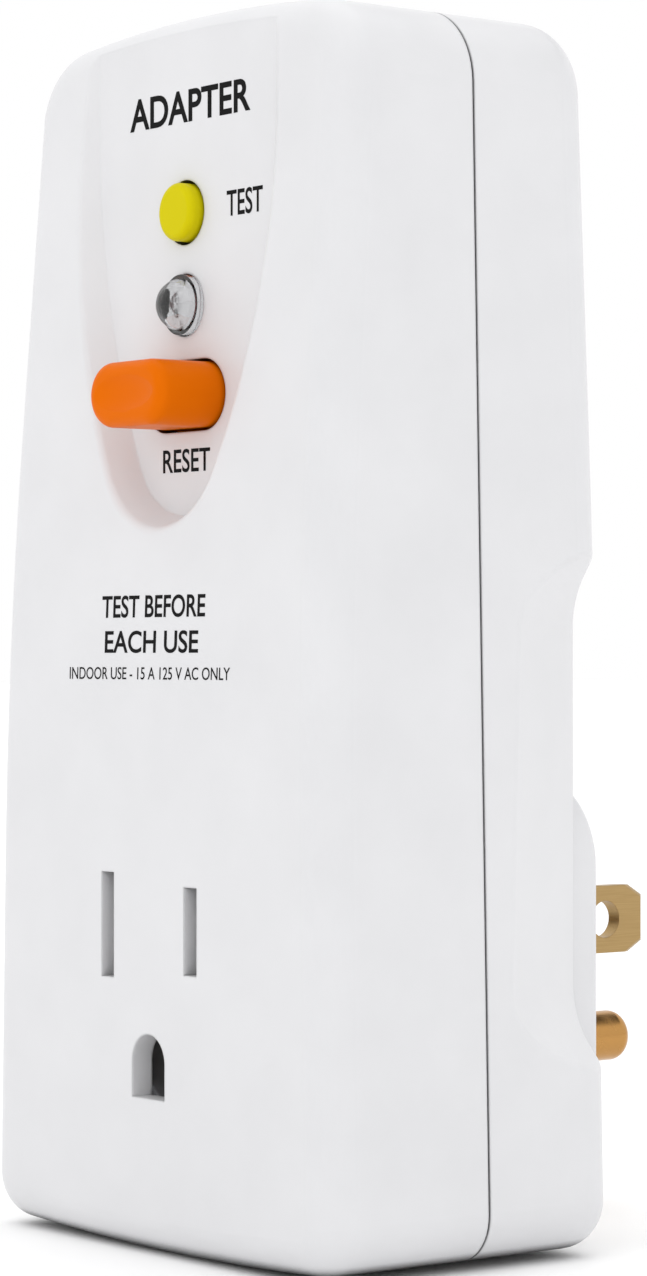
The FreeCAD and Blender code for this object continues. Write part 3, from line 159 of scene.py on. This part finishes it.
class ADAPTER_PG_stage(bpy.types.PropertyGroup):
    camera_place: FloatVectorProperty(
        name="Camera place", description="Where the camera stands",
        default=(0.2753, -0.2278, 0.02484), subtype="TRANSLATION")
    camera_aim: FloatVectorProperty(
        name="Camera aim", description="The direction the camera looks in",
        default=(-0.7932, 0.6089, 0.0049), subtype="DIRECTION")
    lens: FloatProperty(name="Lens", description="Focal length", default=106.94, unit="CAMERA")
    room_light: FloatProperty(
        name="Room light", description="Strength of the even light from all round", default=1.0)
    floor_size: FloatProperty(
        name="Floor size", description="Width of the floor", default=12.0, unit="LENGTH")


# ---------------------------------------------------------------- material helpers
# The mix node has a set of sockets for each data type; these are the colour ones.
MIX_FIRST_COLOUR = 6
MIX_SECOND_COLOUR = 7
MIX_COLOUR_RESULT = 2
# A wave texture of scale 1 has about this many bands to the metre.
WAVES_PER_METRE = 3.2


def add_node(tree, kind, settings=None, links=None):
    """Adds a node; settings are its properties or sockets, links its inputs by socket name."""
    node = tree.nodes.new(kind)
    for name, value in (settings or {}).items():
        if isinstance(name, int) or name in node.inputs:
            node.inputs[name].default_value = value
        else:
            setattr(node, name, value)
    for name, source in (links or {}).items():
        tree.links.new(source, node.inputs[name])
    return node


def start_material(name, colour, roughness, **settings):
    """A new material with only its shader set; returns the material, its tree and its shader."""
    material = bpy.data.materials.new(name)
    material.use_nodes = True
    shader = material.node_tree.nodes["Principled BSDF"]
    shader.inputs["Base Color"].default_value = colour
    shader.inputs["Roughness"].default_value = roughness
    for socket, value in settings.items():
        shader.inputs[socket.replace("_", " ")].default_value = value
    return material, material.node_tree, shader


def stretched_noise(tree, size, stretch=(1, 1, 1), detail=3.0):
    """Noise whose features are size metres across, drawn out by stretch along each axis."""
    place = add_node(tree, "ShaderNodeTexCoord")
    scaled = add_node(
        tree, "ShaderNodeMapping",
        {"Scale": [1 / (size * s) for s in stretch]}, {"Vector": place.outputs["Object"]})
    return add_node(
        tree, "ShaderNodeTexNoise", {"Scale": 1.0, "Detail": detail},
        {"Vector": scaled.outputs["Vector"]}).outputs["Fac"]


def tint(tree, socket, value, low, high):
    """Colours a socket along a run between two colours, by a 0 to 1 value."""
    ramp = add_node(tree, "ShaderNodeValToRGB", None, {"Fac": value})
    ramp.color_ramp.elements[0].position = 0.3
    ramp.color_ramp.elements[0].color = low
    ramp.color_ramp.elements[1].position = 0.7
    ramp.color_ramp.elements[1].color = high
    tree.links.new(ramp.outputs["Color"], socket)


def raise_surface(tree, shader, value, height, softness=0.0):
    """Bumps the shader's surface by value times height metres, over softened edges if asked."""
    bump = add_node(tree, "ShaderNodeBump", {"Strength": 1.0, "Distance": height}, {"Height": value})
    if softness:
        soft = add_node(tree, "ShaderNodeBevel", {"samples": 6, "Radius": softness})
        tree.links.new(soft.outputs["Normal"], bump.inputs["Normal"])
    tree.links.new(bump.outputs["Normal"], shader.inputs["Normal"])


def wear(tree, shader, value, low, high):
    """Lets the roughness wander between low and high, by a 0 to 1 value."""
    span = add_node(
        tree, "ShaderNodeMapRange", {"From Min": 0.3, "From Max": 0.7, "To Min": low, "To Max": high},
        {"Value": value})
    tree.links.new(span.outputs["Result"], shader.inputs["Roughness"])


# ---------------------------------------------------------------- moulded plastics
def white_case(settings):
    """Moulded white ABS from a spark-eroded tool: a satin skin with broad, soft highlights, and
    painted shade: greyer deep inside slots and gaps, where little light gets in."""
    material, tree, shader = start_material(
        "abs_moulded_satin_white", settings.case_colour, settings.case_roughness)
    grain = stretched_noise(tree, settings.grain_size)
    raise_surface(tree, shader, grain, 0.003 * MM, settings.edge_softness)
    clouds = stretched_noise(tree, 9 * MM)
    wear(tree, shader, clouds, settings.case_roughness - 0.04, settings.case_roughness + 0.04)
    openness = add_node(
        tree, "ShaderNodeAmbientOcclusion", {"samples": 8, "Distance": settings.cavity_reach})
    # painted shade from openness: half open counts as outside and keeps the case colour, a tenth open
    # counts as fully inside and takes the painted shade colour
    outside = add_node(
        tree, "ShaderNodeMapRange", {"From Min": 0.1, "From Max": 0.5, "To Min": 0.0, "To Max": 1.0},
        {"Value": openness.outputs["AO"]})
    blend = add_node(
        tree, "ShaderNodeMix", {"data_type": "RGBA", MIX_FIRST_COLOUR: settings.painted_cavity_shade},
        {"Factor": outside.outputs["Result"]})
    tint(tree, blend.inputs[MIX_SECOND_COLOUR], clouds, settings.case_colour, settings.case_bright)
    tree.links.new(blend.outputs[MIX_COLOUR_RESULT], shader.inputs["Base Color"])
    return material


def orange_button(settings):
    """Moulded orange ABS, tumbled smooth: deep, even colour with only a faint sheen."""
    material, tree, shader = start_material(
        "abs_moulded_gloss_orange", settings.reset_colour, 0.4, Specular_IOR_Level=0.03)
    grain = stretched_noise(tree, 0.5 * MM)
    raise_surface(tree, shader, grain, 0.002 * MM, settings.edge_softness)
    wear(tree, shader, stretched_noise(tree, 2.5 * MM), 0.30, 0.38)
    return material


def yellow_button(settings):
    """Moulded yellow ABS, tumbled smooth: a clear, slightly green yellow with a faint sheen."""
    material, tree, shader = start_material(
        "abs_moulded_gloss_yellow", settings.test_colour, 0.4, Specular_IOR_Level=0.04)
    grain = stretched_noise(tree, 0.5 * MM)
    raise_surface(tree, shader, grain, 0.002 * MM, settings.edge_softness)
    wear(tree, shader, stretched_noise(tree, 2.0 * MM), 0.30, 0.38)
    return material


def black_moulding(settings):
    """Glass-filled nylon from a plain tool: charcoal with a dry, streaked surface."""
    material, tree, shader = start_material("nylon_moulded_glass_filled_charcoal", paint("5c5c5f"), 0.55)
    streaks = stretched_noise(tree, 0.6 * MM, (1, 1, 6))
    raise_surface(tree, shader, streaks, 0.01 * MM, settings.edge_softness)
    wear(tree, shader, streaks, 0.48, 0.62)
    return material


def white_bobbin(settings):
    """Plain moulded nylon: milky white and slightly waxy."""
    material, tree, shader = start_material(
        "nylon_moulded_natural", paint("e4e0d2"), 0.45,
        Subsurface_Weight=0.2, Subsurface_Scale=1.0 * MM)
    raise_surface(tree, shader, stretched_noise(tree, 0.8 * MM), 0.004 * MM, settings.edge_softness)
    return material


# ---------------------------------------------------------------- metals
def blade_brass(settings):
    """Brass blanked from rolled strip: fine lines along the blade and a dull warm shine."""
    material, tree, shader = start_material("brass_rolled_blanked", paint("ab8f62"), 0.36, Metallic=1.0)
    lines = stretched_noise(tree, 0.12 * MM, (1, 40, 1), 4.0)
    raise_surface(tree, shader, lines, 0.0025 * MM, 0.12 * MM)
    wear(tree, shader, stretched_noise(tree, 1.6 * MM, (1, 3, 1)), 0.31, 0.42)
    tint(tree, shader.inputs["Base Color"], lines, paint("a68a5d"), paint("b09466"))
    return material


def pin_brass(settings):
    """Brass turned from bar and tumbled: faint rings round the pin under a bright, red-gold shine."""
    material, tree, shader = start_material("brass_turned_tumbled", paint("b88a50"), 0.24, Metallic=1.0)
    rings = stretched_noise(tree, 0.09 * MM, (60, 1, 60), 2.0)
    raise_surface(tree, shader, rings, 0.0012 * MM)
    wear(tree, shader, stretched_noise(tree, 1.2 * MM), 0.20, 0.29)
    return material


def strip_brass(settings):
    """Soft brass strip, pressed and folded: mottled where the tool has rubbed it."""
    material, tree, shader = start_material("brass_pressed_strip", paint("b8975c"), 0.34, Metallic=1.0)
    mottle = stretched_noise(tree, 1.1 * MM)
    raise_surface(tree, shader, stretched_noise(tree, 0.15 * MM, (1, 1, 30)), 0.002 * MM, 0.1 * MM)
    wear(tree, shader, mottle, 0.28, 0.42)
    tint(tree, shader.inputs["Base Color"], mottle, paint("a98850"), paint("c2a264"))
    return material


def contact_silver(settings):
    """Riveted silver alloy: pale and softly hammered, greyer in the low spots."""
    material, tree, shader = start_material("silver_alloy_headed", paint("cfcdc6"), 0.3, Metallic=1.0)
    dents = stretched_noise(tree, 0.5 * MM)
    raise_surface(tree, shader, dents, 0.01 * MM)
    tint(tree, shader.inputs["Base Color"], dents, paint("b4b2aa"), paint("dcdad4"))
    return material


def spring_steel(settings):
    """Drawn spring wire, tempered: a mid-grey shine with a slight straw tint."""
    material, tree, shader = start_material("steel_drawn_tempered", paint("a6a196"), 0.28, Metallic=1.0)
    wear(tree, shader, stretched_noise(tree, 0.4 * MM), 0.22, 0.36)
    return material


def plated_steel(settings):
    """Pressed steel, barrel-plated with zinc: cool, slightly cloudy grey."""
    material, tree, shader = start_material(
        "steel_pressed_zinc_plated", paint("b4b8bd"), 0.33, Metallic=1.0)
    clouds = stretched_noise(tree, 0.9 * MM)
    raise_surface(tree, shader, clouds, 0.004 * MM, 0.1 * MM)
    wear(tree, shader, clouds, 0.26, 0.42)
    tint(tree, shader.inputs["Base Color"], clouds, paint("a8acb4"), paint("c0c2c2"))
    return material


# ---------------------------------------------------------------- electrical pieces
def wound(name, low, high, pitch, roughness, axis):
    """Enamelled wire laid turn beside turn: bands of light and shade at the wire's pitch, bumped and
    also painted into the colour as painted highlight and painted shade.
    """
    material, tree, shader = start_material(name, high, roughness, Metallic=1.0)
    place = add_node(tree, "ShaderNodeTexCoord")
    turns = add_node(
        tree, "ShaderNodeTexWave",
        {"wave_type": "BANDS", "bands_direction": axis, "Scale": 1 / pitch / WAVES_PER_METRE,
         "Distortion": 0.6, "Detail": 1.0},
        {"Vector": place.outputs["Object"]})
    raise_surface(tree, shader, turns.outputs["Fac"], 0.08 * MM)
    # painted highlight on each turn and painted shade between turns, from the high colour down to the
    # low one
    tint(tree, shader.inputs["Base Color"], turns.outputs["Fac"], low, high)
    return material


def core_winding(settings):
    """Red-brown enamelled wire on the two sensing cores, with each turn standing out."""
    # the first colour is the painted shade between turns, the second the lit wire
    return wound("copper_enamelled_core_winding", paint("5e2a14"), paint("a8562c"), 0.5 * MM, 0.3, "X")


def coil_winding(settings):
    """Fine bright copper wire in close layers on the solenoid."""
    # the first colour is the painted shade between turns, the second the lit wire
    return wound("copper_enamelled_coil_winding", paint("7a3a18"), paint("c8743c"), 0.25 * MM, 0.26, "Z")


def board_laminate(settings):
    """Etched laminate under green lacquer: copper tracks show as paler, raised runs."""
    material, tree, shader = start_material(
        "laminate_etched_lacquered_green", paint("1f5c34"), 0.3, Coat_Weight=0.3)
    place = add_node(tree, "ShaderNodeTexCoord")
    upright = add_node(
        tree, "ShaderNodeMapping", {"Rotation": (math.radians(90), 0, 0)},
        {"Vector": place.outputs["Object"]})
    white = paint("ffffff")
    tracks = add_node(
        tree, "ShaderNodeTexBrick",
        {"Scale": 1 / (8 * MM), "Mortar Size": 0.05, "Mortar Smooth": 0.1, "Brick Width": 0.9,
         "Row Height": 0.32, "Color1": white, "Color2": white, "Mortar": paint("000000")},
        {"Vector": upright.outputs["Vector"]})
    raise_surface(tree, shader, tracks.outputs["Fac"], -0.03 * MM)
    tint(tree, shader.inputs["Base Color"], tracks.outputs["Fac"], paint("1d5630"), paint("3f8a50"))
    return material


def dipped_blue(settings):
    """Epoxy-dipped ceramic disc: thick glossy blue skin with slow ripples."""
    material, tree, shader = start_material("epoxy_dipped_blue", paint("1f4f9e"), 0.22, Coat_Weight=0.4)
    raise_surface(tree, shader, stretched_noise(tree, 2.2 * MM), 0.08 * MM, 0.4 * MM)
    return material


def boxed_yellow(settings):
    """Film capacitor in a flame-proof moulded box: flat egg yellow with sharp, worn corners."""
    material, tree, shader = start_material("polyester_moulded_box_yellow", paint("c9a227"), 0.42)
    raise_surface(tree, shader, stretched_noise(tree, 0.7 * MM), 0.008 * MM, 0.3 * MM)
    return material


def black_epoxy(settings):
    """Transfer-moulded epoxy and sleeve: charcoal, matt, with fine filler grain."""
    material, tree, shader = start_material("epoxy_transfer_moulded_charcoal", paint("2b2b2e"), 0.5)
    filler = stretched_noise(tree, 0.12 * MM)
    raise_surface(tree, shader, filler, 0.004 * MM, 0.15 * MM)
    wear(tree, shader, filler, 0.42, 0.6)
    return material


def banded_tan(settings):
    """Lacquered ceramic resistors: tan bodies ringed by dark red-brown code bands."""
    material, tree, shader = start_material("ceramic_lacquered_banded_tan", paint("b89468"), 0.35)
    band_pitch = 0.9 * MM
    place = add_node(tree, "ShaderNodeTexCoord")
    height = add_node(tree, "ShaderNodeSeparateXYZ", None, {"Vector": place.outputs["Object"]})
    saw = add_node(
        tree, "ShaderNodeMath", {"operation": "PINGPONG", 1: band_pitch}, {0: height.outputs["Z"]})
    share = add_node(
        tree, "ShaderNodeMapRange",
        {"From Min": 0.0, "From Max": band_pitch, "To Min": 0.0, "To Max": 1.0},
        {"Value": saw.outputs["Value"]})
    ramp = add_node(tree, "ShaderNodeValToRGB", None, {"Fac": share.outputs["Result"]})
    ramp.color_ramp.interpolation = "CONSTANT"
    ramp.color_ramp.elements[0].color = paint("4a1f14")
    ramp.color_ramp.elements[1].color = paint("c09a6c")
    ramp.color_ramp.elements[1].position = 0.35
    tree.links.new(ramp.outputs["Color"], shader.inputs["Base Color"])
    raise_surface(tree, shader, stretched_noise(tree, 0.8 * MM), 0.01 * MM)
    return material


def clear_lens(settings):
    """Injection-moulded clear polycarbonate: a faintly grey dome that bends what lies behind it."""
    material, tree, shader = start_material(
        "polycarbonate_moulded_clear", paint("b8b8ba"), 0.04, Transmission_Weight=1.0, IOR=1.585)
    raise_surface(tree, shader, stretched_noise(tree, 1.8 * MM), 0.012 * MM)
    return material


def red_lamp(settings):
    """Tinted epoxy lamp body: a milky pink-red that glows softly where light enters."""
    material, tree, shader = start_material(
        "epoxy_cast_diffused_red", paint("d8706c"), 0.25,
        Subsurface_Weight=0.5, Subsurface_Scale=1.2 * MM, Subsurface_Radius=(1.0, 0.25, 0.2))
    raise_surface(tree, shader, stretched_noise(tree, 0.9 * MM), 0.006 * MM)
    return material


def printed_ink():
    """Pad-printed black ink: a thin flat layer, duller than the plastic under it."""
    material, tree, shader = start_material(
        "ink_pad_printed_black", paint("060607"), 0.6, Specular_IOR_Level=0.1)
    raise_surface(tree, shader, stretched_noise(tree, 0.12 * MM), 0.002 * MM)
    return material


def white_backdrop():
    """Seamless white card under the object: plain, matt and pale."""
    material, tree, shader = start_material("card_rolled_matt_white", paint("fafafa"), 0.9)
    raise_surface(tree, shader, stretched_noise(tree, 4 * MM), 0.01 * MM)
    return material


def black_flag():
    """Matt black cloth flag, off to one side: puts a dark line into rounded metal."""
    material, tree, shader = start_material("cotton_woven_black_flag", paint("060606"), 1.0)
    raise_surface(tree, shader, stretched_noise(tree, 2 * MM), 0.1 * MM)
    return material


# ---------------------------------------------------------------- which node has which finish
# Every maker in these tables takes the finish settings.
CASE_FINISHES = (
    (white_case, ("front_cover", "rear_cover")),
    (orange_button, ("reset_button",)),
    (yellow_button, ("test_button",)),
    (clear_lens, ("indicator_lens",)),
    (red_lamp, ("indicator_lamp",)),
)
PLUG_FINISHES = (
    (blade_brass, ("hot_blade", "neutral_blade")),
    (pin_brass, ("ground_pin",)),
    (strip_brass, ("hot_contact", "neutral_contact", "ground_contact", "ground_strap", "hot_bus",
                   "neutral_bus", "contact_bridges", "test_contact")),
    (contact_silver, ("fixed_contacts",)),
    (spring_steel, ("carrier_springs", "plunger_spring", "reset_spring", "test_spring")),
    (plated_steel, ("solenoid_frame", "solenoid_plunger", "latch_plate", "case_screws")),
)
INNER_FINISHES = (
    (black_moulding, ("contact_block", "insulator_plate", "sensor_housing", "contact_carrier")),
    (white_bobbin, ("solenoid_bobbin",)),
    (core_winding, ("sensing_core", "neutral_core")),
    (coil_winding, ("solenoid_coil",)),
    (board_laminate, ("circuit_board",)),
    (dipped_blue, ("varistor",)),
    (boxed_yellow, ("film_capacitor",)),
    (black_epoxy, ("electrolytic_capacitor", "control_chip", "thyristor", "diodes")),
    (banded_tan, ("resistors",)),
)


def finish_nodes(table):
    """Gives each CAD node in the table its material."""
    settings = bpy.context.scene.adapter_finish
    for make, names in table:
        material = make(settings)
        for name in names:
            node = bpy.data.objects[name]
            node.data.materials.clear()
            node.data.materials.append(material)


# ---------------------------------------------------------------- geometry helpers
def card(name, corners, material):
    """A flat four-cornered card."""
    mesh = bpy.data.meshes.new(name)
    mesh.from_pydata(corners, [], [(0, 1, 2, 3)])
    mesh.materials.append(material)
    piece = bpy.data.objects.new(name, mesh)
    bpy.context.scene.collection.objects.link(piece)
    return piece


def face_level(cover, x, z):
    """The Y level of the cover's front face at a place seen from the front."""
    inward = cover.matrix_world.inverted()
    hit, spot, _, _ = cover.ray_cast(
        inward @ Vector((x, PROBE_START, z)), inward.to_3x3() @ Vector((0, 1, 0)))
    if not hit:
        raise RuntimeError(f"no face to print on at {x:.4f}, {z:.4f}")
    return (cover.matrix_world @ spot).y


def lettering(name, words, x_range, middle_z, height, weight):
    """Words printed on the front cover's face, fitted to a width and a letter height."""
    cover = bpy.data.objects["front_cover"]
    curve = bpy.data.curves.new(name, "FONT")
    curve.body = words
    curve.align_x = "CENTER"
    curve.resolution_u = 6
    curve.offset = weight
    curve.size = 1.0
    flat = bpy.data.objects.new(name + "_curve", curve)
    bpy.context.scene.collection.objects.link(flat)
    bpy.context.view_layer.update()
    mesh = bpy.data.meshes.new_from_object(flat)
    bpy.data.objects.remove(flat)
    xs = [v.co.x for v in mesh.vertices]
    ys = [v.co.y for v in mesh.vertices]
    wide = (x_range[1] - x_range[0]) / (max(xs) - min(xs))
    tall = height / (max(ys) - min(ys))
    left, foot = min(xs), min(ys)
    ink = bpy.context.scene.adapter_print.ink_height
    for vertex in mesh.vertices:
        x = x_range[0] + (vertex.co.x - left) * wide
        z = middle_z - height / 2 + (vertex.co.y - foot) * tall
        vertex.co = Vector((x, face_level(cover, x, z) - ink, z))
    mesh.name = name
    piece = bpy.data.objects.new(name, mesh)
    bpy.context.scene.collection.objects.link(piece)
    return piece


# ---------------------------------------------------------------- stage
def add_floor(half):
    """The floor, just under the object's foot."""
    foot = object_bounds()[0].z - FLOOR_GAP
    corners = [(-half, -half, foot), (half, -half, foot), (half, half, foot), (-half, half, foot)]
    card("stage_floor", corners, white_backdrop())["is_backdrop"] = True


def add_flag():
    """A dark card behind and above, seen only as a line in the ground pin."""
    corners = [(FLAG_LEFT, *FLAG_NEAR_EDGE), (FLAG_RIGHT, *FLAG_NEAR_EDGE),
               (FLAG_RIGHT, *FLAG_FAR_EDGE), (FLAG_LEFT, *FLAG_FAR_EDGE)]
    flag = card("stage_flag", corners, black_flag())
    flag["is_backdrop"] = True
    flag.visible_camera = False
    flag.visible_diffuse = False
    flag.visible_shadow = False


def light_room(scene, strength):
    """Even white light from all round, a little stronger from above; the camera sees plain white."""
    world = bpy.data.worlds.new("studio_white")
    world.use_nodes = True
    tree = world.node_tree
    white = paint("ffffff")
    room = tree.nodes["Background"]
    room.inputs["Color"].default_value = white
    way = add_node(tree, "ShaderNodeTexCoord")
    height = add_node(tree, "ShaderNodeSeparateXYZ", None, {"Vector": way.outputs["Generated"]})
    glow = add_node(
        tree, "ShaderNodeMapRange",
        {"From Min": -1.0, "From Max": 1.0, "To Min": strength - FLOOR_GLOW,
         "To Max": strength + CEILING_GLOW},
        {"Value": height.outputs["Z"]})
    tree.links.new(glow.outputs["Result"], room.inputs["Strength"])
    seen = add_node(tree, "ShaderNodeBackground", {"Color": white, "Strength": 1.0})
    rays = add_node(tree, "ShaderNodeLightPath")
    mix = add_node(
        tree, "ShaderNodeMixShader", None,
        {"Fac": rays.outputs["Is Camera Ray"], 1: room.outputs["Background"],
         2: seen.outputs["Background"]})
    tree.links.new(mix.outputs["Shader"], tree.nodes["World Output"].inputs["Surface"])
    scene.world = world


def add_softbox(name, place, size, power):
    """A square soft light that looks at the object."""
    data = bpy.data.lights.new(name, "AREA")
    data.shape = "SQUARE"
    data.size = size
    data.energy = power
    light = bpy.data.objects.new(name, data)
    light.location = place
    aim = Vector(SOFTBOX_AIM) - Vector(place)
    light.rotation_euler = aim.to_track_quat("-Z", "Y").to_euler()
    bpy.context.scene.collection.objects.link(light)


def add_camera(scene, stage):
    """The camera, in focus throughout."""
    data = bpy.data.cameras.new("camera")
    data.lens = stage.lens
    data.sensor_width = SENSOR_WIDTH
    data.clip_start = CLIP_START
    data.dof.use_dof = False
    camera = bpy.data.objects.new("camera", data)
    camera.location = stage.camera_place
    camera.rotation_euler = Vector(stage.camera_aim).to_track_quat("-Z", "Y").to_euler()
    scene.collection.objects.link(camera)
    scene.camera = camera


# ---------------------------------------------------------------- operators
class ADAPTER_OT_finish_case(bpy.types.Operator):
    """Finish the covers, the buttons and the lamp"""
    bl_idname = "adapter.finish_case"
    bl_label = "Finish case and buttons"

    def execute(self, context):
        finish_nodes(CASE_FINISHES)
        return {"FINISHED"}


class ADAPTER_OT_finish_metal(bpy.types.Operator):
    """Finish the blades, the pin, the contacts, springs and screws"""
    bl_idname = "adapter.finish_metal"
    bl_label = "Finish metal"

    def execute(self, context):
        finish_nodes(PLUG_FINISHES)
        return {"FINISHED"}


class ADAPTER_OT_finish_inside(bpy.types.Operator):
    """Finish the board, its components and the insulating mouldings"""
    bl_idname = "adapter.finish_inside"
    bl_label = "Finish inside"

    def execute(self, context):
        finish_nodes(INNER_FINISHES)
        return {"FINISHED"}


class ADAPTER_OT_add_printing(bpy.types.Operator):
    """Print the words beside the buttons and above the receptacle"""
    bl_idname = "adapter.add_printing"
    bl_label = "Add printing"

    def execute(self, context):
        settings = context.scene.adapter_print
        ink = printed_ink()
        for name, setting, left, right, middle, height, weight in PRINTED_LINES:
            piece = lettering(name, getattr(settings, setting), (left * MM, right * MM),
                              middle * MM, height * MM, weight)
            piece.data.materials.append(ink)
            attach(piece, "housing")
        return {"FINISHED"}


class ADAPTER_OT_build_stage(bpy.types.Operator):
    """Build the floor, the lights and the camera"""
    bl_idname = "adapter.build_stage"
    bl_label = "Build stage"

    def execute(self, context):
        stage = context.scene.adapter_stage
        add_floor(stage.floor_size / 2)
        add_flag()
        light_room(context.scene, stage.room_light)
        for name, place, size, power in SOFTBOXES:
            add_softbox(name, place, size, power)
        add_camera(context.scene, stage)
        context.scene.view_settings.view_transform = "Standard"
        return {"FINISHED"}


class ADAPTER_PT_panel(bpy.types.Panel):
    """Settings and steps for the adapter's looks"""
    bl_idname = "ADAPTER_PT_panel"
    bl_label = "Adapter looks"
    bl_space_type = "VIEW_3D"
    bl_region_type = "UI"
    bl_category = "Adapter"

    def draw(self, context):
        scene = context.scene
        for group in (scene.adapter_finish, scene.adapter_print, scene.adapter_stage):
            box = self.layout.box()
            for name in group.__annotations__:
                box.prop(group, name)
        for operator in OPERATORS:
            self.layout.operator(operator.bl_idname)


OPERATORS = (
    ADAPTER_OT_finish_case,
    ADAPTER_OT_finish_metal,
    ADAPTER_OT_finish_inside,
    ADAPTER_OT_add_printing,
    ADAPTER_OT_build_stage,
)
GROUPS = (
    ("adapter_finish", ADAPTER_PG_finish),
    ("adapter_print", ADAPTER_PG_print),
    ("adapter_stage", ADAPTER_PG_stage),
)


def register():
    for _, group in GROUPS:
        bpy.utils.register_class(group)
    for name, group in GROUPS:
        setattr(bpy.types.Scene, name, PointerProperty(type=group))
    for operator in OPERATORS:
        bpy.utils.register_class(operator)
    bpy.utils.register_class(ADAPTER_PT_panel)


def unregister():
    bpy.utils.unregister_class(ADAPTER_PT_panel)
    for operator in reversed(OPERATORS):
        bpy.utils.unregister_class(operator)
    for name, group in reversed(GROUPS):
        delattr(bpy.types.Scene, name)
        bpy.utils.unregister_class(group)


def main():
    register()
    bpy.ops.adapter.finish_case()
    bpy.ops.adapter.finish_metal()
    bpy.ops.adapter.finish_inside()
    bpy.ops.adapter.add_printing()
    bpy.ops.adapter.build_stage()


if __name__ == "__main__":
    main()
